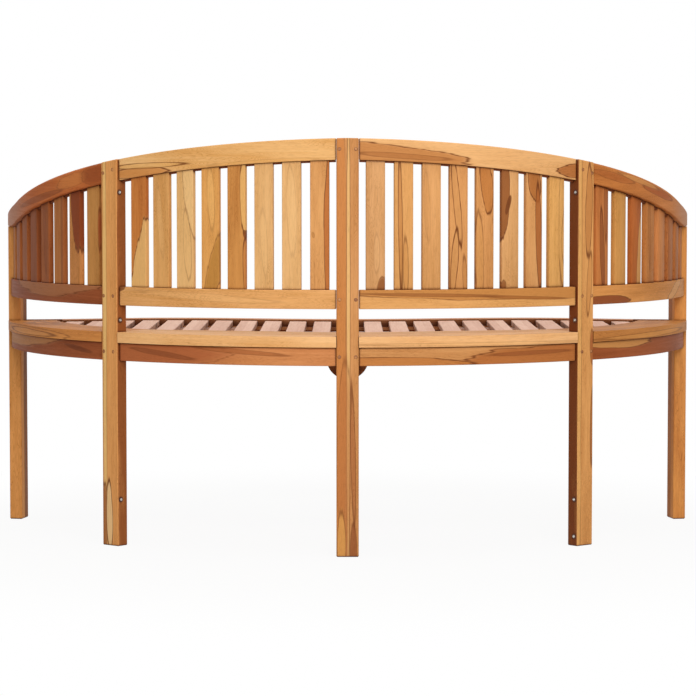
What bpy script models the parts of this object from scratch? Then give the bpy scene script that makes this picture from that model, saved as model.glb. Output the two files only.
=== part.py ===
"""A curved garden bench in solid teak, at its real size in metres, standing on z = 0.

The back and the arms follow one round arc. The middle of the back is at +Y, the sitter faces -Y,
and left is the sitter's left, at +X. An angle along the arc is measured from the middle of the
back, towards the left side or the right side of the bench.
"""
import math
from collections import defaultdict
from dataclasses import dataclass

import bmesh
import bpy
import numpy as np
from mathutils import Matrix, Vector

# Clearances, cuts and edges
FIT_GAP = 0.0003
CUT_OVERRUN = 0.05
SMOOTH_UP_TO = math.radians(30)
EASED_FROM = math.radians(40)

# Plan of the bench
OVERALL_DEPTH = 0.750
BACK_RADIUS = 0.7662
SIDE_LEG_ANGLE = math.radians(40)
ARM_LEG_SETBACK = 0.0965
ARM_LEG_TWIST = math.radians(20.7)
ARM_LEG_INSET = 0.021
ARM_OVERHANG = 0.0695
FRONT_DIP = 0.060
FRONT_LOBE_X = 0.400

# Legs
LEG_WIDTH = 0.045
LEG_DEPTH = 0.028
FRONT_LEG_DEPTH = 0.045
LEG_CHAMFER = 0.0018

# Line of the top edge: an arc that falls from the peak, then sweeps out level along the arms
BACK_RISE = 0.1449
CREST_SLOPE_SHARE = 0.0157
CREST_RADIUS = 3.69
ARM_SWEEP_LENGTH = 0.202
ARM_SWEEP_RADIUS = 0.37

# Rails of the back and arms
RAIL_SETBACK = 0.006
RAIL_THICKNESS = 0.022
TOP_RAIL_HEIGHT = 0.0436
LOW_RAIL_GAP = 0.055
LOW_RAIL_HEIGHT = 0.0385
ARM_RISE = 0.1594
ARM_RAIL_SETBACK = 0.001
ARM_RAIL_THICKNESS = 0.028
NOSE_RADIUS = 0.020
RAIL_CHAMFER = 0.0018

# Back and arm slats
SLAT_WIDTH = 0.0385
SLAT_THICKNESS = 0.012
SLAT_HOUSING = 0.010
BACK_SLAT_COUNT = 8
BACK_SLAT_FIRST = 0.0570
BACK_SLAT_LAST = 0.0716
ARM_SLAT_COUNT = 8
ARM_SLAT_FIRST = 0.0610
ARM_SLAT_LAST = 0.0500
ARM_FILLET_THICKNESS = 0.006
SLAT_CHAMFER = 0.0012

# Seat rim
SEAT_HEIGHT = 0.4445
RIM_THICKNESS = 0.022
RIM_WIDTH_CENTRE = 0.155
RIM_WIDTH_SIDE = 0.118
RIM_WIDTH_ARM = 0.105
RIM_WIDTH_FRONT = 0.050
RIM_OVERHANG = 0.006
RIM_LEDGE = 0.014
RIM_END_OVERRUN = 0.0094

# Seat slats
SEAT_SLAT_WIDTH = 0.038
SEAT_SLAT_PITCH = 0.0552
SEAT_SLAT_THICKNESS = 0.012
SEAT_SLAT_RECESS = 0.003
SEAT_SLAT_SHORTEST = 0.050
SEAT_SLAT_END_GAP = 0.001
MIDDLE_SLATS_EACH_SIDE = 3

# Aprons, cross rails and battens under the seat
APRON_HEIGHT = 0.0375
APRON_THICKNESS = 0.022
MIDDLE_BATTEN_SETBACK = 0.325
SIDE_BATTEN_SETBACK = 0.170
BATTEN_WIDTH = 0.030
BATTEN_HEIGHT = 0.025
BATTEN_HOUSING = 0.001

# Brackets beside the front leg
BRACKET_RADIUS = 0.047
BRACKET_DROP = 0.0265
BRACKET_THICKNESS = 0.022

# Tenons and the pins that lock them
TENON_LENGTH = 0.016
TENON_ROOT = 0.012
TENON_THICKNESS = 0.010
TENON_SHOULDER = 0.006
ARM_TENON_WIDTH = 0.026
ARM_TENON_HEIGHT = 0.022
PIN_DIAMETER = 0.007
PIN_LENGTH = 0.022
PIN_INSET = 0.006
SIDE_PIN_INSET = 0.012

# Stub dowels hidden in the frame
DOWEL_DIAMETER = 0.008
DOWEL_DEPTH = 0.010
APRON_DOWEL_SHARES = (0.22, 0.78)

# Round-headed screws in the inner side faces of the side legs
SCREW_HEAD_DIAMETER = 0.0095
SCREW_HEAD_HEIGHT = 0.0022
SCREW_SHANK_DIAMETER = 0.005
SCREW_LENGTH = 0.035
SCREW_INSET = 0.008
SCREW_BELOW_TOP = 0.065
SCREW_ABOVE_SEAT = 0.0245
FOOT_SCREW_HEIGHTS = {"left": (0.097,), "right": (0.097, 0.020)}

# How finely round shapes are cut
BACK_STEPS = 12
ARM_STEPS = 14
FRONT_DIP_STEPS = 8
FRONT_RETURN_STEPS = 7
NOSE_STEPS = 3
BRACKET_STEPS = 6
ROD_SIDES = 8
REBATE_OVERRUN_SHARE = 0.03

# Places worked out from the sizes above
ARC_CENTRE_Y = OVERALL_DEPTH / 2 - BACK_RADIUS
FRONT_Y = -OVERALL_DEPTH / 2
ARM_LEG_RADIUS = BACK_RADIUS - ARM_LEG_INSET
ARM_LEG_ANGLE = math.acos((FRONT_Y + ARM_LEG_SETBACK - ARC_CENTRE_Y) / ARM_LEG_RADIUS)
ARM_END_ANGLE = ARM_LEG_ANGLE + ARM_OVERHANG / BACK_RADIUS
RIM_END_ANGLE = ARM_LEG_ANGLE + RIM_END_OVERRUN / BACK_RADIUS
ARM_SWEEP_START = BACK_RADIUS * ARM_END_ANGLE - ARM_SWEEP_LENGTH
RAIL_RADIUS = BACK_RADIUS - RAIL_SETBACK
RAIL_MIDDLE_RADIUS = RAIL_RADIUS - RAIL_THICKNESS / 2
ARM_RAIL_RADIUS = BACK_RADIUS - ARM_RAIL_SETBACK
ARM_RAIL_MIDDLE_RADIUS = ARM_RAIL_RADIUS - ARM_RAIL_THICKNESS / 2
RIM_RADIUS = math.hypot(BACK_RADIUS, LEG_WIDTH / 2)
RIM_BOTTOM = SEAT_HEIGHT - RIM_THICKNESS
APRON_TOP = RIM_BOTTOM - FIT_GAP
APRON_BOTTOM = RIM_BOTTOM - APRON_HEIGHT
SEAT_SLAT_TOP = SEAT_HEIGHT - SEAT_SLAT_RECESS
SEAT_SLAT_BOTTOM = SEAT_SLAT_TOP - SEAT_SLAT_THICKNESS
LEDGE_TOP = SEAT_SLAT_BOTTOM - FIT_GAP
LOW_RAIL_BOTTOM = SEAT_HEIGHT + LOW_RAIL_GAP
LOW_RAIL_TOP = LOW_RAIL_BOTTOM + LOW_RAIL_HEIGHT
BACK_HEIGHT = LOW_RAIL_TOP + ARM_RISE + BACK_RISE
MIDDLE_BATTEN_Y = FRONT_Y + MIDDLE_BATTEN_SETBACK
SIDE_BATTEN_Y = FRONT_Y + SIDE_BATTEN_SETBACK
SIDES = {"left": 1, "right": -1}

# Every piece with what is cut from it or joined to it, in the order of these kinds
CUT_KINDS = {
    "shoulder": "DIFFERENCE", "tenon": "UNION", "pin": "UNION", "mortise": "DIFFERENCE", "hole": "DIFFERENCE"}
joinery = defaultdict(lambda: defaultdict(list))


@dataclass
class Post:
    """A leg: its axes (along the arc, outwards, up) at its middle line, and half its section."""
    node: str
    frame: Matrix
    half: tuple


@dataclass
class Face:
    """A side of a leg: axes (out of the face, across it, up) and half the leg's size across it."""
    node: str
    frame: Matrix
    half: float


def colour(hex_code):
    """Turn an sRGB hex colour into linear values."""
    parts = [int(hex_code[i:i + 2], 16) / 255 for i in (0, 2, 4)]
    return [c / 12.92 if c <= 0.04045 else ((c + 0.055) / 1.055) ** 2.4 for c in parts] + [1]


def finish(name, hex_code, roughness, metallic=0):
    """A plain finish in the piece's own colour."""
    material = bpy.data.materials.new(name)
    material.use_nodes = True
    shader = material.node_tree.nodes["Principled BSDF"]
    shader.inputs["Base Color"].default_value = colour(hex_code)
    shader.inputs["Roughness"].default_value = roughness
    shader.inputs["Metallic"].default_value = metallic
    return material


def on_arc(side, angle, radius, height=0):
    """The point at an angle from the middle of the back, at a radius from the arc's centre."""
    return Vector((side * radius * math.sin(angle), ARC_CENTRE_Y + radius * math.cos(angle), height))


def angle_of(point):
    """The angle of a point from the middle of the back."""
    return math.atan2(abs(point.x), point.y - ARC_CENTRE_Y)


def crest_drop(angle):
    """How far the line of the top edge has dropped at an angle, before it is fitted to BACK_RISE."""
    run = BACK_RADIUS * abs(angle)
    fall = min(run, ARM_SWEEP_START)
    drop = CREST_SLOPE_SHARE * fall + fall ** 2 / (2 * CREST_RADIUS)
    slope = CREST_SLOPE_SHARE + ARM_SWEEP_START / CREST_RADIUS
    sweep = min(max(run - ARM_SWEEP_START, 0), slope * ARM_SWEEP_RADIUS)
    return drop + slope * sweep - sweep ** 2 / (2 * ARM_SWEEP_RADIUS)


def crest(angle):
    """Height of the top edge of the back and arms at an angle along the arc."""
    return BACK_HEIGHT - BACK_RISE * crest_drop(angle) / crest_drop(ARM_END_ANGLE)


def nose(angle):
    """How far the arm rail's top edge drops in the rounded nose at its end."""
    left = max(BACK_RADIUS * (ARM_END_ANGLE - angle), 0)
    if left >= NOSE_RADIUS:
        return 0
    return NOSE_RADIUS - math.sqrt(NOSE_RADIUS ** 2 - (NOSE_RADIUS - left) ** 2)


def post(node, side, angle, radius, turn):
    """A leg on the arc, turned so that its outer face looks along the angle turn."""
    along = Vector((side * math.cos(turn), -math.sin(turn), 0))
    out = Vector((side * math.sin(turn), math.cos(turn), 0))
    frame = Matrix((along, out, Vector((0, 0, 1)))).transposed().to_4x4()
    frame.translation = on_arc(side, angle, radius)
    return Post(node, frame, (LEG_WIDTH / 2, LEG_DEPTH / 2))


def face(leg, axis, sign):
    """One side of a leg: axis 0 looks along the arc, axis 1 looks in or out."""
    normal = leg.frame.col[axis].to_3d() * sign
    across = leg.frame.col[1 - axis].to_3d()
    frame = Matrix((normal, across, Vector((0, 0, 1)))).transposed().to_4x4()
    frame.translation = leg.frame.translation + normal * leg.half[axis]
    return Face(leg.node, frame, leg.half[1 - axis])


def across_at_arc(place, radius):
    """Where an arc round the bench's centre crosses a face, measured across the face."""
    centre = place.frame.inverted() @ Vector((0, ARC_CENTRE_Y, 0))
    return centre.y + math.sqrt(radius ** 2 - centre.x ** 2)


def across_at_line(place, point, direction):
    """Where a straight line crosses a face, measured across the face."""
    start = place.frame.inverted() @ point
    step = place.frame.to_3x3().inverted() @ direction
    return start.y - step.y * start.x / step.x


def box(frame, low, high):
    """A box between two corners, given in a frame."""
    low, high = Vector(low), Vector(high)
    size = high - low
    matrix = frame @ Matrix.Translation((low + high) / 2) @ Matrix.Diagonal((*size, 1))
    return lambda shape: bmesh.ops.create_cube(shape, size=1, matrix=matrix)


def rod(start, end, diameter):
    """A round rod from one point to another."""
    run = end - start
    matrix = run.to_track_quat("Z", "Y").to_matrix().to_4x4()
    matrix.translation = (start + end) / 2
    radius = diameter / 2
    return lambda shape: bmesh.ops.create_cone(
        shape, cap_ends=True, segments=ROD_SIDES, radius1=radius, radius2=radius,
        depth=run.length, matrix=matrix)


def even(steps):
    """The shares of a board's length at which it is cut into equal steps."""
    return [step / steps for step in range(1, steps)]


def board(cut_shares, place):
    """A squared board, cut across at shares of its length, whose corners go where place says.

    place takes the shares of the board's length, thickness and height, from 0 to 1.
    """
    def make(shape):
        blank = bmesh.new()
        bmesh.ops.create_cube(blank, size=1)
        for share in cut_shares:
            everything = blank.verts[:] + blank.edges[:] + blank.faces[:]
            bmesh.ops.bisect_plane(blank, geom=everything, plane_co=(share - 0.5, 0, 0), plane_no=(1, 0, 0))
        for corner in blank.verts:
            corner.co = place(*(corner.co + Vector((0.5, 0.5, 0.5))))
        mesh = bpy.data.meshes.new("blank")
        blank.to_mesh(mesh)
        blank.free()
        shape.from_mesh(mesh)
        bpy.data.meshes.remove(mesh)
    return make


def curved_board(side, span, radii, low, high, cut_shares):
    """A board sawn to the arc: span is its two angles, radii its inner and outer face."""
    def place(along, across, up):
        angle = span[0] + (span[1] - span[0]) * along
        radius = radii[0] + (radii[1] - radii[0]) * across
        return on_arc(side, angle, radius, low(angle) + (high(angle) - low(angle)) * up)
    return board(cut_shares, place)


def front_line(x):
    """The front edge of the seat: a dip in the middle, a lobe on each side, back at the arms."""
    x = abs(x)
    if x < FRONT_LOBE_X:
        return FRONT_Y + FRONT_DIP * (1 + math.cos(math.pi * x / FRONT_LOBE_X)) / 2
    share = min((x - FRONT_LOBE_X) / (front_half - FRONT_LOBE_X), 1)
    return FRONT_Y + front_return * (1 - math.cos(math.pi * share)) / 2


def front_board(side, front, back, low, high):
    """A board that follows the front edge, from front to back behind that line."""
    reach = front_half + LEG_DEPTH
    lobe_share = FRONT_LOBE_X / reach
    dip_shares = [lobe_share * share for share in even(FRONT_DIP_STEPS)]
    return_shares = [lobe_share + (1 - lobe_share) * share for share in even(FRONT_RETURN_STEPS)]

    def place(along, across, up):
        x = reach * along
        return Vector((side * x, front_line(x) + front + (back - front) * across, low + (high - low) * up))
    return board(dip_shares + [lobe_share] + return_shares, place)


def rim_edges(part, share):
    """The points of the rim's inner edge and of its outer edge, at a share of a part's length."""
    if part == "arm":
        angle = SIDE_LEG_ANGLE + (RIM_END_ANGLE - SIDE_LEG_ANGLE) * share
        width = RIM_WIDTH_SIDE + (RIM_WIDTH_ARM - RIM_WIDTH_SIDE) * share
        return on_arc(1, angle, RIM_RADIUS - width), on_arc(1, angle, RIM_RADIUS)
    middle = on_arc(1, 0, RIM_RADIUS - RIM_WIDTH_CENTRE)
    end = on_arc(1, SIDE_LEG_ANGLE, RIM_RADIUS - RIM_WIDTH_SIDE)
    return middle.lerp(end, share), on_arc(1, SIDE_LEG_ANGLE * share, RIM_RADIUS)


def rim_board(side, part, ledge, low, high, steps):
    """A rim board, from the edge of its ledge to its outer face."""
    def place(along, across, up):
        inner, outer = rim_edges(part, along)
        near = inner + (inner - outer).normalized() * ledge
        point = near.lerp(outer, across)
        return Vector((side * point.x, point.y, low + (high - low) * up))
    return board(even(steps), place)


def rebate_board(side, part, steps):
    """What is cut from the top of a rim board's inner edge, to leave the ledge."""
    def place(along, across, up):
        inner, outer = rim_edges(part, along + REBATE_OVERRUN_SHARE * (2 * along - 1))
        inwards = (inner - outer).normalized()
        near = inner + inwards * (RIM_LEDGE + CUT_OVERRUN)
        point = near.lerp(inner, across)
        return Vector((side * point.x, point.y, LEDGE_TOP + (SEAT_HEIGHT + CUT_OVERRUN - LEDGE_TOP) * up))
    return board(even(steps), place)


def make_part(node, makers, material, chamfer=0):
    """One named piece from its solids, with eased edges."""
    build_object(node, makers, parts_collection)
    piece = bpy.data.objects[node]
    piece.data.materials.append(material)
    piece.data.shade_smooth()
    piece.data.set_sharp_from_angle(angle=SMOOTH_UP_TO)
    if chamfer:
        ease = piece.modifiers.new("eased edges", "BEVEL")
        ease.width = chamfer
        ease.segments = 1
        ease.limit_method = "ANGLE"
        ease.angle_limit = EASED_FROM


def build_object(name, makers, collection):
    """An object whose mesh holds the given solids, with their faces pointing out."""
    shape = bmesh.new()
    for make in makers:
        make(shape)
    bmesh.ops.recalc_face_normals(shape, faces=shape.faces)
    mesh = bpy.data.meshes.new(name)
    shape.to_mesh(mesh)
    shape.free()
    made = bpy.data.objects.new(name, mesh)
    collection.objects.link(made)
    return made


def add_cut(node, label, operation, makers):
    """Cut solids from a piece, or join them to it."""
    tool = build_object(f"{node}.{label}", makers, cutters_collection)
    tool.hide_render = True
    tool.display_type = "WIRE"
    cut = bpy.data.objects[node].modifiers.new(label, "BOOLEAN")
    cut.operation = operation
    cut.object = tool


def work_joinery():
    """Work every joint: shoulders one by one, then each of the other kinds together."""
    for node, kinds in joinery.items():
        for kind, operation in CUT_KINDS.items():
            solids = kinds[kind]
            if kind == "shoulder":
                for number, solid in enumerate(solids, 1):
                    add_cut(node, f"shoulder_{number}", operation, [solid])
            elif solids:
                add_cut(node, kind, operation, solids)


def square_end(node, place):
    """Saw a piece off square to the face that it ends on."""
    reach = CUT_OVERRUN
    joinery[node]["shoulder"].append(
        box(place.frame, (-reach, -reach, -reach), (FIT_GAP, reach, BACK_HEIGHT + reach)))


def tenon_joint(node, place, middle, low, high, pin_inset=0):
    """End a rail on a leg with a stub tenon in a mortise, locked by a pin from the outer side."""
    square_end(node, place)
    side = TENON_THICKNESS / 2
    low, high = low + TENON_SHOULDER, high - TENON_SHOULDER
    joinery[node]["tenon"].append(
        box(place.frame, (-TENON_LENGTH, middle - side, low), (FIT_GAP + TENON_ROOT, middle + side, high)))
    joinery[place.node]["mortise"].append(
        box(place.frame, (-TENON_LENGTH - FIT_GAP, middle - side - FIT_GAP, low - FIT_GAP),
            (CUT_OVERRUN, middle + side + FIT_GAP, high + FIT_GAP)))
    if pin_inset:
        height = (low + high) / 2
        outside = place.frame @ Vector((-pin_inset, place.half, height))
        inside = place.frame @ Vector((-pin_inset, place.half - PIN_LENGTH, height))
        way = (inside - outside).normalized()
        joinery[node]["pin"].append(rod(outside, inside, PIN_DIAMETER))
        joinery[place.node]["hole"].append(
            rod(outside - way * CUT_OVERRUN, inside + way * FIT_GAP, PIN_DIAMETER + 2 * FIT_GAP))


def add_dowel(point, direction, node, other):
    """A stub dowel glued in one piece, and its hole in the other, which direction points at."""
    way = direction.normalized()
    joinery[node]["pin"].append(rod(point - way * DOWEL_DEPTH, point + way * DOWEL_DEPTH, DOWEL_DIAMETER))
    joinery[other]["hole"].append(
        rod(point - way * DOWEL_DEPTH, point + way * (DOWEL_DEPTH + FIT_GAP), DOWEL_DIAMETER + 2 * FIT_GAP))


def leg_maker(leg, top, steps=1):
    """A leg from the floor up to top, a function of the point below."""
    def place(along, across, up):
        corner = leg.frame @ Vector(((2 * along - 1) * leg.half[0], (2 * across - 1) * leg.half[1], 0))
        corner.z = top(corner) * up
        return corner
    return board(even(steps), place)


def crest_above(point):
    """Height of the crest above a point on the floor."""
    return crest(angle_of(point))


def arm_cut_shares():
    """Where the arm rail is cut across: even steps, then close ones round the nose."""
    length = BACK_RADIUS * (ARM_END_ANGLE - SIDE_LEG_ANGLE)
    nose_share = NOSE_RADIUS / length
    body = [share * (1 - nose_share) for share in even(ARM_STEPS)]
    turns = [math.sin(math.pi / 2 * step / NOSE_STEPS) for step in range(NOSE_STEPS)]
    return body + [1 - nose_share * (1 - turn) for turn in turns]


def arm_rail_maker(side, inner, outer, low, high):
    """The arm rail's own shape, or the same shape made larger to cut a leg under it."""
    return curved_board(side, (SIDE_LEG_ANGLE, ARM_END_ANGLE), (inner, outer), low, high, arm_cut_shares())


def build_legs():
    """The six legs."""
    make_part("rear_leg_centre", [leg_maker(centre_leg[1], crest_above, 2)], teak_legs, LEG_CHAMFER)
    for name, side in SIDES.items():
        make_part(f"rear_leg_{name}", [leg_maker(side_leg[side], crest_above)], teak_legs, LEG_CHAMFER)
        node = f"arm_leg_{name}"
        leg = arm_leg[side]
        make_part(node, [leg_maker(leg, crest_above)], teak_legs, LEG_CHAMFER)
        joinery[node]["shoulder"].append(arm_rail_maker(
            side, ARM_RAIL_RADIUS - ARM_RAIL_THICKNESS - CUT_OVERRUN, ARM_RAIL_RADIUS + CUT_OVERRUN,
            lambda angle: arm_underside(angle) - FIT_GAP, lambda angle: crest(angle) + CUT_OVERRUN))
        add_arm_tenon(node, f"arm_rail_{name}", leg)
    make_part("front_leg", [leg_maker(front_leg[1], lambda point: APRON_TOP)], teak_legs, LEG_CHAMFER)


def arm_underside(angle):
    """Height of the underside of the top rail and the arm rail."""
    return crest(angle) - TOP_RAIL_HEIGHT


def add_arm_tenon(node, rail, leg):
    """The tenon on top of an arm leg, and its mortise in the arm rail."""
    base = arm_underside(angle_of(leg.frame.translation))
    middle = across_at_arc(leg, ARM_RAIL_MIDDLE_RADIUS)
    middle = min(middle, leg.half[1] - TENON_SHOULDER - TENON_THICKNESS / 2)
    wide, thick = ARM_TENON_WIDTH / 2, TENON_THICKNESS / 2
    joinery[node]["tenon"].append(
        box(leg.frame, (-wide, middle - thick, base - TENON_ROOT),
            (wide, middle + thick, base + ARM_TENON_HEIGHT)))
    joinery[rail]["mortise"].append(
        box(leg.frame, (-wide - FIT_GAP, middle - thick - FIT_GAP, base - CUT_OVERRUN),
            (wide + FIT_GAP, middle + thick + FIT_GAP, base + ARM_TENON_HEIGHT + FIT_GAP)))


def build_rail(node, side, part, low, high, material, pinned=True):
    """A rail or apron of the back or of an arm, tenoned into the leg at each end."""
    if part == "back":
        span = (0, SIDE_LEG_ANGLE)
        ends = (face(centre_leg[side], 0, 1), face(side_leg[side], 0, -1))
        insets = (PIN_INSET, SIDE_PIN_INSET)
    else:
        span = (SIDE_LEG_ANGLE, ARM_LEG_ANGLE)
        ends = (face(side_leg[side], 0, 1), face(arm_leg[side], 0, -1))
        insets = (PIN_INSET, PIN_INSET)
    radii = (RAIL_RADIUS - RAIL_THICKNESS, RAIL_RADIUS)
    make_part(node, [curved_board(side, span, radii, low, high, even(BACK_STEPS))], material, RAIL_CHAMFER)
    for place, inset in zip(ends, insets):
        middle = across_at_arc(place, RAIL_MIDDLE_RADIUS)
        angle = angle_of(place.frame.translation)
        tenon_joint(node, place, middle, low(angle), high(angle), inset if pinned else 0)


def build_back_rails():
    """Top rails, arm rails and lower rails."""
    for name, side in SIDES.items():
        build_rail(f"top_rail_{name}", side, "back", arm_underside, crest, teak_rails)
        for node, part in ((f"back_rail_{name}", "back"), (f"side_rail_{name}", "arm")):
            build_rail(node, side, part, lambda angle: LOW_RAIL_BOTTOM, lambda angle: LOW_RAIL_TOP,
                       teak_rails)
        node = f"arm_rail_{name}"
        shape = arm_rail_maker(side, ARM_RAIL_RADIUS - ARM_RAIL_THICKNESS, ARM_RAIL_RADIUS,
                               arm_underside, lambda angle: crest(angle) - nose(angle))
        make_part(node, [shape], teak_rails, RAIL_CHAMFER)
        place = face(side_leg[side], 0, 1)
        angle = angle_of(place.frame.translation)
        middle = across_at_arc(place, ARM_RAIL_MIDDLE_RADIUS)
        tenon_joint(node, place, middle, arm_underside(angle), crest(angle), PIN_INSET)


def slat_angles(start, end, first, last, count):
    """Angles of the slats between two legs: first and last are measured from the legs' middles."""
    low, high = start + first / BACK_RADIUS, end - last / BACK_RADIUS
    return [float(angle) for angle in np.linspace(low, high, count)]


def slat_box(side, angle, grow):
    """A slat of the back or arm, housed in the rails below and above, or its housing."""
    frame = post("", side, angle, RAIL_MIDDLE_RADIUS, angle).frame
    wide, thick = SLAT_WIDTH / 2 + grow, SLAT_THICKNESS / 2 + grow
    low = LOW_RAIL_TOP - SLAT_HOUSING - grow
    high = arm_underside(angle) + SLAT_HOUSING + grow
    return box(frame, (-wide, -thick, low), (wide, thick, high))


def arm_fillet(side, span, grow):
    """The fillet between the heads of the arm's slats in the arm rail, or the groove for it."""
    reach = grow / BACK_RADIUS
    half = ARM_FILLET_THICKNESS / 2 + grow
    return curved_board(
        side, (span[0] - reach, span[1] + reach), (RAIL_MIDDLE_RADIUS - half, RAIL_MIDDLE_RADIUS + half),
        lambda angle: arm_underside(angle) - grow,
        lambda angle: arm_underside(angle) + SLAT_HOUSING / 2 + grow,
        even(ARM_STEPS))


def build_back_slats():
    """Eight slats in each half of the back, each a piece, and eight in each arm on one fillet."""
    back_angles = slat_angles(0, SIDE_LEG_ANGLE, BACK_SLAT_FIRST, BACK_SLAT_LAST, BACK_SLAT_COUNT)
    angles = slat_angles(SIDE_LEG_ANGLE, ARM_LEG_ANGLE, ARM_SLAT_FIRST, ARM_SLAT_LAST, ARM_SLAT_COUNT)
    for name, side in SIDES.items():
        for number, angle in enumerate(back_angles, 1):
            make_part(f"back_slat_{name}_{number}", [slat_box(side, angle, 0)], teak_slats, SLAT_CHAMFER)
            for rail in (f"top_rail_{name}", f"back_rail_{name}"):
                joinery[rail]["mortise"].append(slat_box(side, angle, FIT_GAP))
        node = f"arm_slats_{name}"
        make_part(node, [slat_box(side, angle, 0) for angle in angles], teak_slats, SLAT_CHAMFER)
        for rail in (f"arm_rail_{name}", f"side_rail_{name}"):
            joinery[rail]["mortise"] += [slat_box(side, angle, FIT_GAP) for angle in angles]
        span = (angles[0], angles[-1])
        joinery[node]["tenon"].append(arm_fillet(side, span, 0))
        joinery[f"arm_rail_{name}"]["shoulder"].append(arm_fillet(side, span, FIT_GAP))


def kerf(side, angle):
    """The thin gap between two rim boards that meet at an angle."""
    frame = post("", side, angle, RIM_RADIUS, angle).frame
    inner = -RIM_WIDTH_CENTRE - CUT_OVERRUN
    return box(frame, (-FIT_GAP / 2, inner, 0), (FIT_GAP / 2, CUT_OVERRUN, BACK_HEIGHT))


def notch(leg, onwards=0):
    """Room for a leg in a rim board, open to the outside and as far onwards as given."""
    wide, deep = leg.half[0] + FIT_GAP, leg.half[1] + FIT_GAP
    return box(leg.frame, (-wide, -deep, 0), (wide + onwards, CUT_OVERRUN, BACK_HEIGHT))


def build_rims():
    """The six boards of the seat rim, with a ledge for the ends of the slats."""
    for name, side in SIDES.items():
        for part, steps in (("back", BACK_STEPS), ("arm", ARM_STEPS)):
            node = f"rim_{part}_{name}"
            shape = rim_board(side, part, RIM_LEDGE, RIM_BOTTOM, SEAT_HEIGHT, steps)
            make_part(node, [shape], teak_seat, RAIL_CHAMFER)
            rebate = rebate_board(side, part, steps)
            joinery[node]["mortise"].append(rebate)
        back, arm, front = (f"rim_{part}_{name}" for part in ("back", "arm", "front"))
        joinery[back]["shoulder"] += [notch(centre_leg[side]), notch(side_leg[side])]
        joinery[back]["shoulder"] += [kerf(side, 0), kerf(side, SIDE_LEG_ANGLE)]
        joinery[arm]["shoulder"] += [notch(side_leg[side]), notch(arm_leg[side], onwards=CUT_OVERRUN)]
        joinery[arm]["shoulder"].append(kerf(side, SIDE_LEG_ANGLE))
        joinery[arm]["shoulder"].append(front_board(
            side, -CUT_OVERRUN, RIM_WIDTH_FRONT + FIT_GAP, 0, BACK_HEIGHT))
        shape = front_board(side, 0, RIM_WIDTH_FRONT + RIM_LEDGE, RIM_BOTTOM, SEAT_HEIGHT)
        make_part(front, [shape], teak_seat, RAIL_CHAMFER)
        joinery[front]["mortise"].append(front_board(
            side, RIM_WIDTH_FRONT, RIM_WIDTH_FRONT + RIM_LEDGE + CUT_OVERRUN, LEDGE_TOP, BACK_HEIGHT))
        joinery[front]["shoulder"].append(box(
            Matrix.Identity(4), (-FIT_GAP / 2, FRONT_Y, 0), (FIT_GAP / 2, 0, BACK_HEIGHT)))
        joinery[front]["shoulder"].append(arm_rim_cut(side))
        square_end(front, face(arm_leg[side], 1, -1))


def arm_rim_cut(side):
    """The arm rim's own place, cut from the ledge of the front rim where the two meet."""
    return rim_board(side, "arm", RIM_LEDGE + FIT_GAP, 0, BACK_HEIGHT, ARM_STEPS)


def seat_rear(x):
    """How far back the seat slats reach at x: the rim's inner edge."""
    shares = even(2 * ARM_STEPS)
    edge = [rim_edges(part, share)[0] for part in ("back", "arm") for share in [0] + shares + [1]]
    return float(np.interp(abs(x), [point.x for point in edge], [point.y for point in edge]))


def seat_slat(number):
    """A seat slat, its ends cut to the line of the rim."""
    middle = SEAT_SLAT_PITCH * number

    def place(along, across, up):
        x = middle + SEAT_SLAT_WIDTH * (across - 0.5)
        front = front_line(x) + RIM_WIDTH_FRONT + SEAT_SLAT_END_GAP
        back = seat_rear(x) - SEAT_SLAT_END_GAP
        return Vector((x, front + (back - front) * along, SEAT_SLAT_BOTTOM + SEAT_SLAT_THICKNESS * up))
    return board([], place)


def seat_slat_length(number):
    """Length of a seat slat along its outer edge."""
    x = SEAT_SLAT_PITCH * number + SEAT_SLAT_WIDTH / 2
    if x > rim_edges("arm", 1)[0].x:
        return 0
    return seat_rear(x) - front_line(x) - RIM_WIDTH_FRONT


def build_seat_slats():
    """The seat slats in three sets, as many as fit between the arms."""
    last = MIDDLE_SLATS_EACH_SIDE
    while seat_slat_length(last + 1) > SEAT_SLAT_SHORTEST:
        last += 1
    inner = range(-MIDDLE_SLATS_EACH_SIDE, MIDDLE_SLATS_EACH_SIDE + 1)
    outer = range(MIDDLE_SLATS_EACH_SIDE + 1, last + 1)
    build_slat_set("seat_slats_middle", inner, MIDDLE_BATTEN_Y, 0)
    for name, side in SIDES.items():
        numbers = [side * number for number in outer]
        cross_rail_x = face(side_leg[side], 1, -1).frame.translation.x
        build_slat_set(f"seat_slats_{name}", numbers, SIDE_BATTEN_Y, cross_rail_x)


def build_slat_set(node, numbers, batten_y, cross_rail_x):
    """A set of seat slats on one batten, which is notched over the cross rail below it."""
    make_part(node, [seat_slat(number) for number in numbers], teak_seat, SLAT_CHAMFER)
    x = sorted((SEAT_SLAT_PITCH * numbers[0], SEAT_SLAT_PITCH * numbers[-1]))
    y = (batten_y - BATTEN_WIDTH / 2, batten_y + BATTEN_WIDTH / 2)
    z = (SEAT_SLAT_BOTTOM - BATTEN_HEIGHT, SEAT_SLAT_BOTTOM + BATTEN_HOUSING)
    joinery[node]["tenon"].append(straight_board(x, y, z))
    half = APRON_THICKNESS / 2 + FIT_GAP
    x = (cross_rail_x - half, cross_rail_x + half)
    y = (y[0] - CUT_OVERRUN, y[1] + CUT_OVERRUN)
    joinery[node]["mortise"].append(straight_board(x, y, (0, APRON_TOP + FIT_GAP)))


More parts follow.
